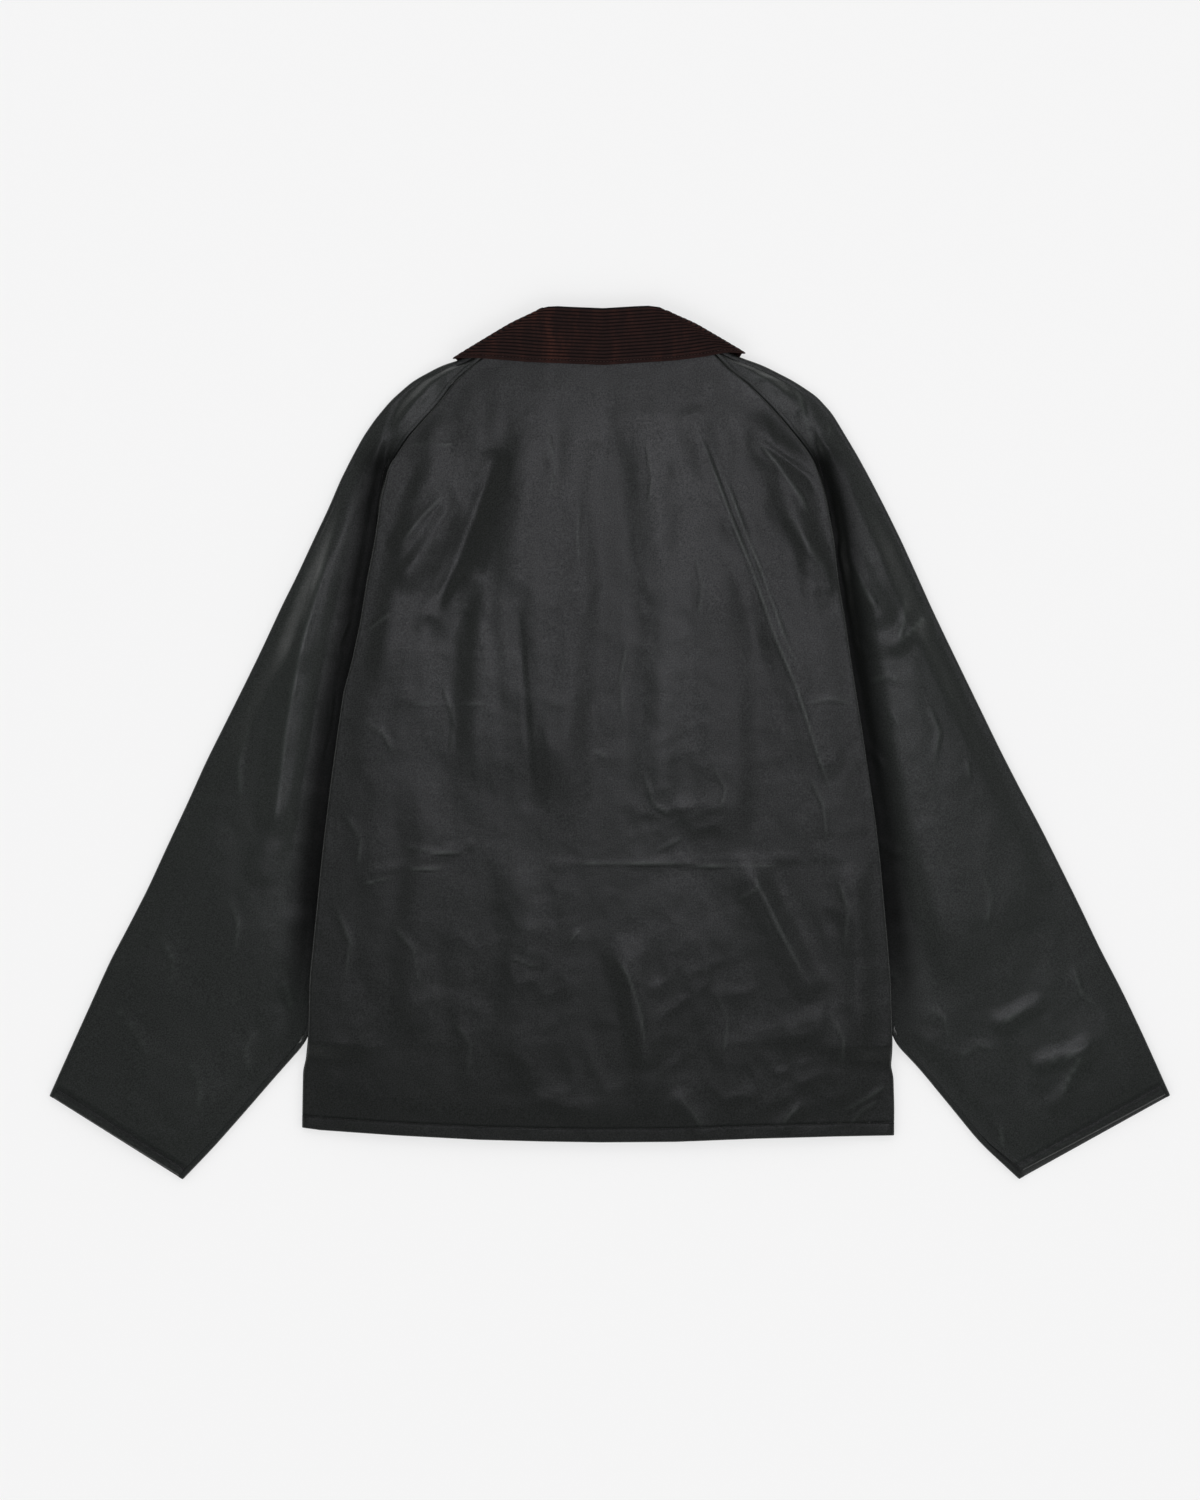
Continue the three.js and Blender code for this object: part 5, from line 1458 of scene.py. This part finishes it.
def math_node(operation, a, b, clamp):
    tree = (a if isinstance(a, bpy.types.NodeSocket) else b).id_data
    made = node(tree, "ShaderNodeMath", {"operation": operation, "use_clamp": clamp})
    connect(made.inputs, (a, b))
    return made.outputs[0]


def plus(a, b, clamp=False):
    return math_node("ADD", a, b, clamp)


def minus(a, b, clamp=False):
    return math_node("SUBTRACT", a, b, clamp)


def times(a, b, clamp=False):
    return math_node("MULTIPLY", a, b, clamp)


def above(value, level, gain):
    """How far a value is above a level, made steeper, from 0 to 1."""
    return times(minus(value, level, True), gain, True)


def tinted(base, factor, colour):
    """Base colour mixed towards another by a factor."""
    made = node(factor.id_data, "ShaderNodeMix", {"data_type": "RGBA"})
    connect((made.inputs[0], made.inputs[6], made.inputs[7]), (factor, base, colour))
    return made.outputs[2]


def ramp(source, stops):
    made = node(source.id_data, "ShaderNodeValToRGB", Fac=source)
    for element, (place, colour) in zip(made.color_ramp.elements, stops):
        element.position = place
        element.color = (*colour, 1)
    return made.outputs["Color"]


def scaled(colour, factor):
    return tuple(factor * channel for channel in colour)


def object_place(tree):
    return node(tree, "ShaderNodeTexCoord").outputs["Object"]


def cut_place(tree):
    """Place on the flat cut of the cloth, in metres."""
    return node(tree, "ShaderNodeUVMap", {"uv_map": "cut"}).outputs["UV"]


def mark(tree, name):
    return node(tree, "ShaderNodeAttribute", {"attribute_name": name}).outputs["Fac"]


def stretched(vector, *scale):
    return node(vector.id_data, "ShaderNodeMapping", {}, {"Scale": scale}, Vector=vector).outputs["Vector"]


def noise(vector, scale, detail, rough=0.5):
    sizes = {"Scale": scale, "Detail": detail, "Roughness": rough}
    return node(vector.id_data, "ShaderNodeTexNoise", {}, sizes, Vector=vector).outputs["Fac"]


def wave(vector, direction, scale, distortion):
    sizes = {"Scale": scale, "Distortion": distortion}
    made = node(vector.id_data, "ShaderNodeTexWave", {"bands_direction": direction}, sizes, Vector=vector)
    return made.outputs["Fac"]


def bump(height, strength, distance, before=None):
    sizes = {"Strength": strength, "Distance": distance}
    made = node(height.id_data, "ShaderNodeBump", {}, sizes, Height=height)
    if before:
        connect([made.inputs["Normal"]], [before])
    return made.outputs["Normal"]


def set_shader(shader, **values):
    """Values or sockets for the inputs with these names, written with underscores."""
    connect([shader.inputs[name.replace("_", " ")] for name in values], values.values())


def waxed_cotton(name, tone, edge_shade):
    """Waxed plain weave: cloudy, speckled, lighter where it is creased and in zones of wax wear and painted sheen;
    darker where shade is painted: on inner faces, next to the body's edge, and where its shine is dulled.
    """
    made, tree, shader = material(name)
    place, cut = object_place(tree), cut_place(tree)
    mottle = noise(place, 46, 1.2, 0.4)
    patina = noise(place, 130, 4, 0.55)
    speckle = above(noise(place, 760, 2, 0.6), 0.3, 2.5)
    slub, weft = (noise(stretched(cut, *scale), 900, 2, 0.55) for scale in ((1, 0.09, 1), (0.09, 1, 1)))
    grain = plus(above(slub, 0.38, 2.2), above(weft, 0.38, 2.2))
    weave = times(wave(cut, "X", 420, 1.2), wave(cut, "Y", 420, 1.2))
    rubbed_and_sheen, inside = mark(tree, "worn_and_sheen"), mark(tree, "inside")
    base = ramp(noise(place, 7, 4, 0.55), [(0.3, scaled(tone, 0.8)), (0.72, scaled(tone, 1.15))])
    for factor, strength, shade in (
        (mottle, 0.5, 1.35),
        (patina, 0.5, 0.6),
        (grain, 0.25, 1.9),
        (speckle, 0.75, 0.25),
        # Wax wear and painted sheen: lighter colour in the listed zones.
        (rubbed_and_sheen, 0.3, 1.6),
        (mark(tree, "crease"), 0.95, 4.4),
        # Dark seams and stitch lines; on the upper sleeves this mark also paints shade next to the body's edge.
        (mark(tree, "seam"), 0.75, 0.15),
        # Painted shade: inner faces are darker, as they show in the shadowed openings at the cuffs and neck.
        (inside, 0.7, 0.45),
    ):
        base = tinted(base, times(factor, strength, True), scaled(tone, shade))
    rough = plus(plus(0.32, times(speckle, 0.03)), times(patina, 0.02))
    rough = minus(plus(rough, times(inside, 0.3)), times(rubbed_and_sheen, 0.05), True)
    # Painted shade: the shine is taken down where a mark dulls it: sharp turns, next to the body's edge and along sewn
    # lines.
    shine = minus(0.5, times(mark(tree, "dulled_shade"), edge_shade))
    shine = times(shine, minus(1.35, times(speckle, 0.6)))
    fine = plus(plus(times(weave, 0.3), times(grain, 0.5)), times(speckle, 0.4))
    set_shader(
        shader, Base_Color=base, Roughness=rough, Specular_IOR_Level=shine,
        Sheen_Weight=0.015, Sheen_Roughness=0.5, Sheen_Tint=(0.8, 0.86, 0.9),
        Normal=bump(mottle, 0.8, 0.0006, bump(fine, 0.8, 0.00006)),
    )
    return made


def corduroy(name, tone):
    """Pile cloth: painted shade, nearly black, in the grooves between its wales, with brushed pale patches."""
    made, tree, shader = material(name)
    place = object_place(tree)
    tufts = noise(stretched(place, 0.35, 1, 1), 620, 5, 0.65)
    brushed = stretched(place, 1, 0.3, 0.3)
    stroked = times(above(noise(brushed, 75, 4, 0.7), 0.44, 3.6), above(noise(brushed, 22, 2), 0.35, 3.0))
    # Painted shade: the near-black colour of the grooves between the wales, which the stitched line takes as well.
    groove = scaled(tone, 0.03)
    base = tinted(tone, stroked, (4.4 * tone[0], 3.4 * tone[1], 2.5 * tone[2]))
    base = tinted(base, times(tufts, 0.7), scaled(tone, 0.5))
    base = tinted(base, times(mark(tree, "rim"), 0.3), scaled(tone, 1.6))
    base = tinted(base, times(minus(1.0, mark(tree, "crown"), True), 1.7, True), groove)
    base = tinted(base, times(mark(tree, "seam"), 0.6, True), groove)
    height = plus(times(noise(place, 1500, 4), 0.5), tufts)
    set_shader(
        shader, Base_Color=base, Roughness=plus(0.82, times(tufts, 0.16), True), Specular_IOR_Level=0.12,
        Sheen_Weight=0.05, Sheen_Roughness=0.35, Sheen_Tint=(0.55, 0.28, 0.22),
        Normal=bump(height, 0.8, 0.0005),
    )
    return made


def cotton_thread(name, tone):
    made, tree, shader = material(name)
    place = object_place(tree)
    twist = wave(place, "DIAGONAL", 900, 2)
    set_shader(
        shader, Base_Color=tinted(scaled(tone, 0.7), twist, scaled(tone, 1.2)), Specular_IOR_Level=0.25,
        Roughness=plus(0.5, times(noise(place, 700, 3), 0.3)), Normal=bump(twist, 0.5, 0.0001),
    )
    return made


def aged_brass(name):
    made, tree, shader = material(name)
    place = object_place(tree)
    wear = noise(place, 260, 6, 0.7)
    base = ramp(wear, [(0.35, (0.045, 0.03, 0.016)), (0.7, (0.2, 0.13, 0.055))])
    set_shader(
        shader, Base_Color=base, Metallic=1.0,
        Roughness=plus(0.24, times(wear, 0.3)), Normal=bump(noise(place, 1400, 2), 0.3, 0.00005),
    )
    return made


BODY_WAX = waxed_cotton("waxed_cotton_body", tone=(0.0096, 0.0109, 0.01), edge_shade=0.47)
# Painted light: the sleeves are the body's waxed cotton with a lighter tone, for the light that falls on them.
SLEEVE_WAX_PAINTED_LIGHTER = waxed_cotton("waxed_cotton_sleeve", tone=(0.0148, 0.017, 0.0156), edge_shade=0.4)
CORD = corduroy("corduroy_brown", tone=(0.0185, 0.0074, 0.0064))
THREAD = cotton_thread("thread_dark", tone=(0.0075, 0.0085, 0.0078))
COLLAR_THREAD = cotton_thread("thread_brown", tone=(0.028, 0.01, 0.008))
BRASS = aged_brass("aged_brass")


def finish_piece(made, finish, slot, nodes=()):
    """Give a piece its material, body and slot, and name the nodes that it replaces."""
    made.data.materials.append(finish)
    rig.ride(made, "root")
    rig.slot(made, slot)
    if nodes:
        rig.replaces(made, *nodes)
    return made


def stitch(name, lines, finish=THREAD, **sizes):
    """Stitching, which goes with the cloth that it is on."""
    made = thread(name, lines, **sizes)
    return finish_piece(made, finish, "corduroy" if finish is COLLAR_THREAD else "waxed_cotton")


SIDES = ("left", "right")
FRONT_STITCH_ENDS = (-372, 284)
SLEEVE_STITCH_ENDS = (0.4, 8.3)
COLLAR_STITCH_LOW = 4.5

(back, back_up), back_distance = build_back()
finish_piece(back, BODY_WAX, "waxed_cotton", ["back"])

uppers, lowers, fronts = {}, {}, {}
for side, source in zip(SIDES, (SLEEVE_LEFT, SLEEVE_RIGHT)):
    uppers[side] = build_sleeve_upper(source, side)
    finish_piece(uppers[side][0], SLEEVE_WAX_PAINTED_LIGHTER, "waxed_cotton", [f"sleeve_{side}_back"])
    lowers[side] = build_sleeve_lower(source, side)
    finish_piece(lowers[side], SLEEVE_WAX_PAINTED_LIGHTER, "waxed_cotton", [f"sleeve_{side}_front"])
for side in SIDES:
    fronts[side] = build_front(side)
    finish_piece(fronts[side][0], BODY_WAX, "waxed_cotton", [f"front_{side}"])

collar, collar_up, collar_across = build_collar()
finish_piece(collar, CORD, "corduroy", ["collar"])

# Studs, each in a hole through both fronts, with its cap let into the left one.
HOLE = STUD_POST + STUD_CLEARANCE
SEAT = STUD_CAP + STUD_CLEARANCE
SEAT_TOP = STUD_CAP_HEIGHT + STUD_CLEARANCE
HOLE_LOW, HOLE_HIGH = -1, 6
for i in range(STUD_COUNT):
    y = STUD_FIRST - i * STUD_PITCH
    hole = [(HOLE, HOLE_HIGH), (0, HOLE_HIGH)]
    seat = [(0, HOLE_LOW), (SEAT, HOLE_LOW), (SEAT, SEAT_TOP), (HOLE, SEAT_TOP)]
    cut_out(fronts["left"][0], y, seat + hole)
    cut_out(fronts["right"][0], y, [(0, HOLE_LOW), (HOLE, HOLE_LOW)] + hole)
    finish_piece(build_stud(i + 1, y), BRASS, "press_stud", [f"press_stud_{i + 1}"])

hem_line = surface_line(back_up, back_distance, HEM_STITCH)
back_threads = [stitch("stitch_hem", [(hem_line[TURN + 2:-TURN - 2], UP)])]

sleeve_threads = {}
for side, (upper, upper_up, facts) in uppers.items():
    cuff_line = surface_line(upper_up, facts["distance"], CUFF_STITCH)
    seam_line = surface_line(upper_up, facts["from_seam"], SEAM_STITCH, axis=1)
    low, high = SLEEVE_STITCH_ENDS
    seam_line = seam_line[(facts["index"] > low) & (facts["index"] < high)]
    sleeve_threads[side] = [stitch(f"stitch_sleeve_{side}", [(cuff_line, UP), (seam_line, UP)])]

front_threads = {}
for side, (front, front_up, facts) in fronts.items():
    lines = [(surface_line(front_up, facts["distance"], HEM_STITCH), DOWN)]
    for place in CLOSURE_LINES if side == "left" else ():
        line = surface_line(front_up, facts["across"], place, axis=1)
        low, high = FRONT_STITCH_ENDS
        lines.append((line[(line[:, 1] > low) & (line[:, 1] < high)], DOWN))
    front_threads[side] = [stitch(f"stitch_front_{side}", lines, radius=0.16, sink=0.9)]

rim_line = surface_line(collar_up, collar_across, COLLAR_STITCH, axis=1)
rim_line = rim_line[rim_line[:, 2] > COLLAR_STITCH_LOW]
collar_threads = [stitch("stitch_collar", [(rim_line, UP)], COLLAR_THREAD, radius=0.18)]

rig.sheet(
    back, flat=(0.60, 0.785), area=0.385, held="laid",
    rests_on=[f"front_{side}_cloth" for side in SIDES], with_pieces=back_threads,
)
for side in SIDES:
    upper, lower = uppers[side][0], lowers[side]
    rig.sheet(
        upper, flat=(0.21, 0.84), area=0.105, held="laid",
        rests_on=[lower], with_pieces=sleeve_threads[side],
    )
    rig.sheet(lower, flat=(0.22, 0.80), area=0.115, held="laid", rests_on=["floor"])
for side in SIDES:
    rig.sheet(
        fronts[side][0], flat=(0.30, 0.71), area=0.17, held="laid",
        rests_on=["floor"], with_pieces=front_threads[side],
    )
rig.sheet(collar, flat=(0.60, 0.11), area=0.055, held="folded", rests_on=[back], with_pieces=collar_threads)

# Camera straight over the jacket, looking down, with the collar at the top of the picture.
CAMERA_PLACE = (-0.0093, -0.0069, 3.958)
CAMERA_LENS = 100
CAMERA_SENSOR = 36
FLOOR_Z = -0.0002
FLOOR_REACH = 30

camera_data = bpy.data.cameras.new("camera")
camera_data.lens = CAMERA_LENS
camera_data.sensor_width = CAMERA_SENSOR
camera = bpy.data.objects.new("camera", camera_data)
camera.location = CAMERA_PLACE
bpy.context.scene.collection.objects.link(camera)
bpy.context.scene.camera = camera

# Pale floor.
corners = [(x * FLOOR_REACH, y * FLOOR_REACH, FLOOR_Z) for x, y in ((-1, -1), (1, -1), (1, 1), (-1, 1))]
floor_data = bpy.data.meshes.new("floor")
floor_data.from_pydata(corners, [], [(0, 1, 2, 3)])
floor = bpy.data.objects.new("floor", floor_data)
bpy.context.scene.collection.objects.link(floor)
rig.stage(floor)
floor_finish, _, floor_shader = material("pale_floor")
set_shader(
    floor_shader, Base_Color=(0.3, 0.3, 0.3), Roughness=0.9, Specular_IOR_Level=0.0,
    Emission_Color=(1, 1, 1), Emission_Strength=0.61,
)
floor_data.materials.append(floor_finish)


# Soft studio light: a softbox high over the collar's side, and pale walls all round.
def softbox(name, place, aim, size, power, colour):
    data = bpy.data.lights.new(name, "AREA")
    data.shape = "SQUARE"
    data.size = size
    data.energy = power
    data.color = colour
    made = bpy.data.objects.new(name, data)
    made.location = place
    made.rotation_euler = (Vector(aim) - Vector(place)).to_track_quat("-Z", "Y").to_euler()
    bpy.context.scene.collection.objects.link(made)


softbox("key", place=(0.25, 0.62, 4.6), aim=(0, 0, 0), size=1.1, power=14.5, colour=(0.985, 0.965, 1.04))
world = bpy.data.worlds.new("studio")
world.use_nodes = True
sky = world.node_tree
direction = node(sky, "ShaderNodeTexCoord").outputs["Generated"]
height = node(sky, "ShaderNodeSeparateXYZ", Vector=direction).outputs["Z"]
walls = ramp(height, [(0.4, (1, 1, 1)), (0.7, (0, 0, 0))])
set_shader(sky.nodes["Background"], Color=walls, Strength=3.1)
bpy.context.scene.world = world
bpy.context.scene.view_settings.view_transform = "Standard"

with open("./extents.json", "w") as out:
    json.dump({"cad": CAD_BOUNDS, "scene": [list(corner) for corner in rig.bounds()]}, out)
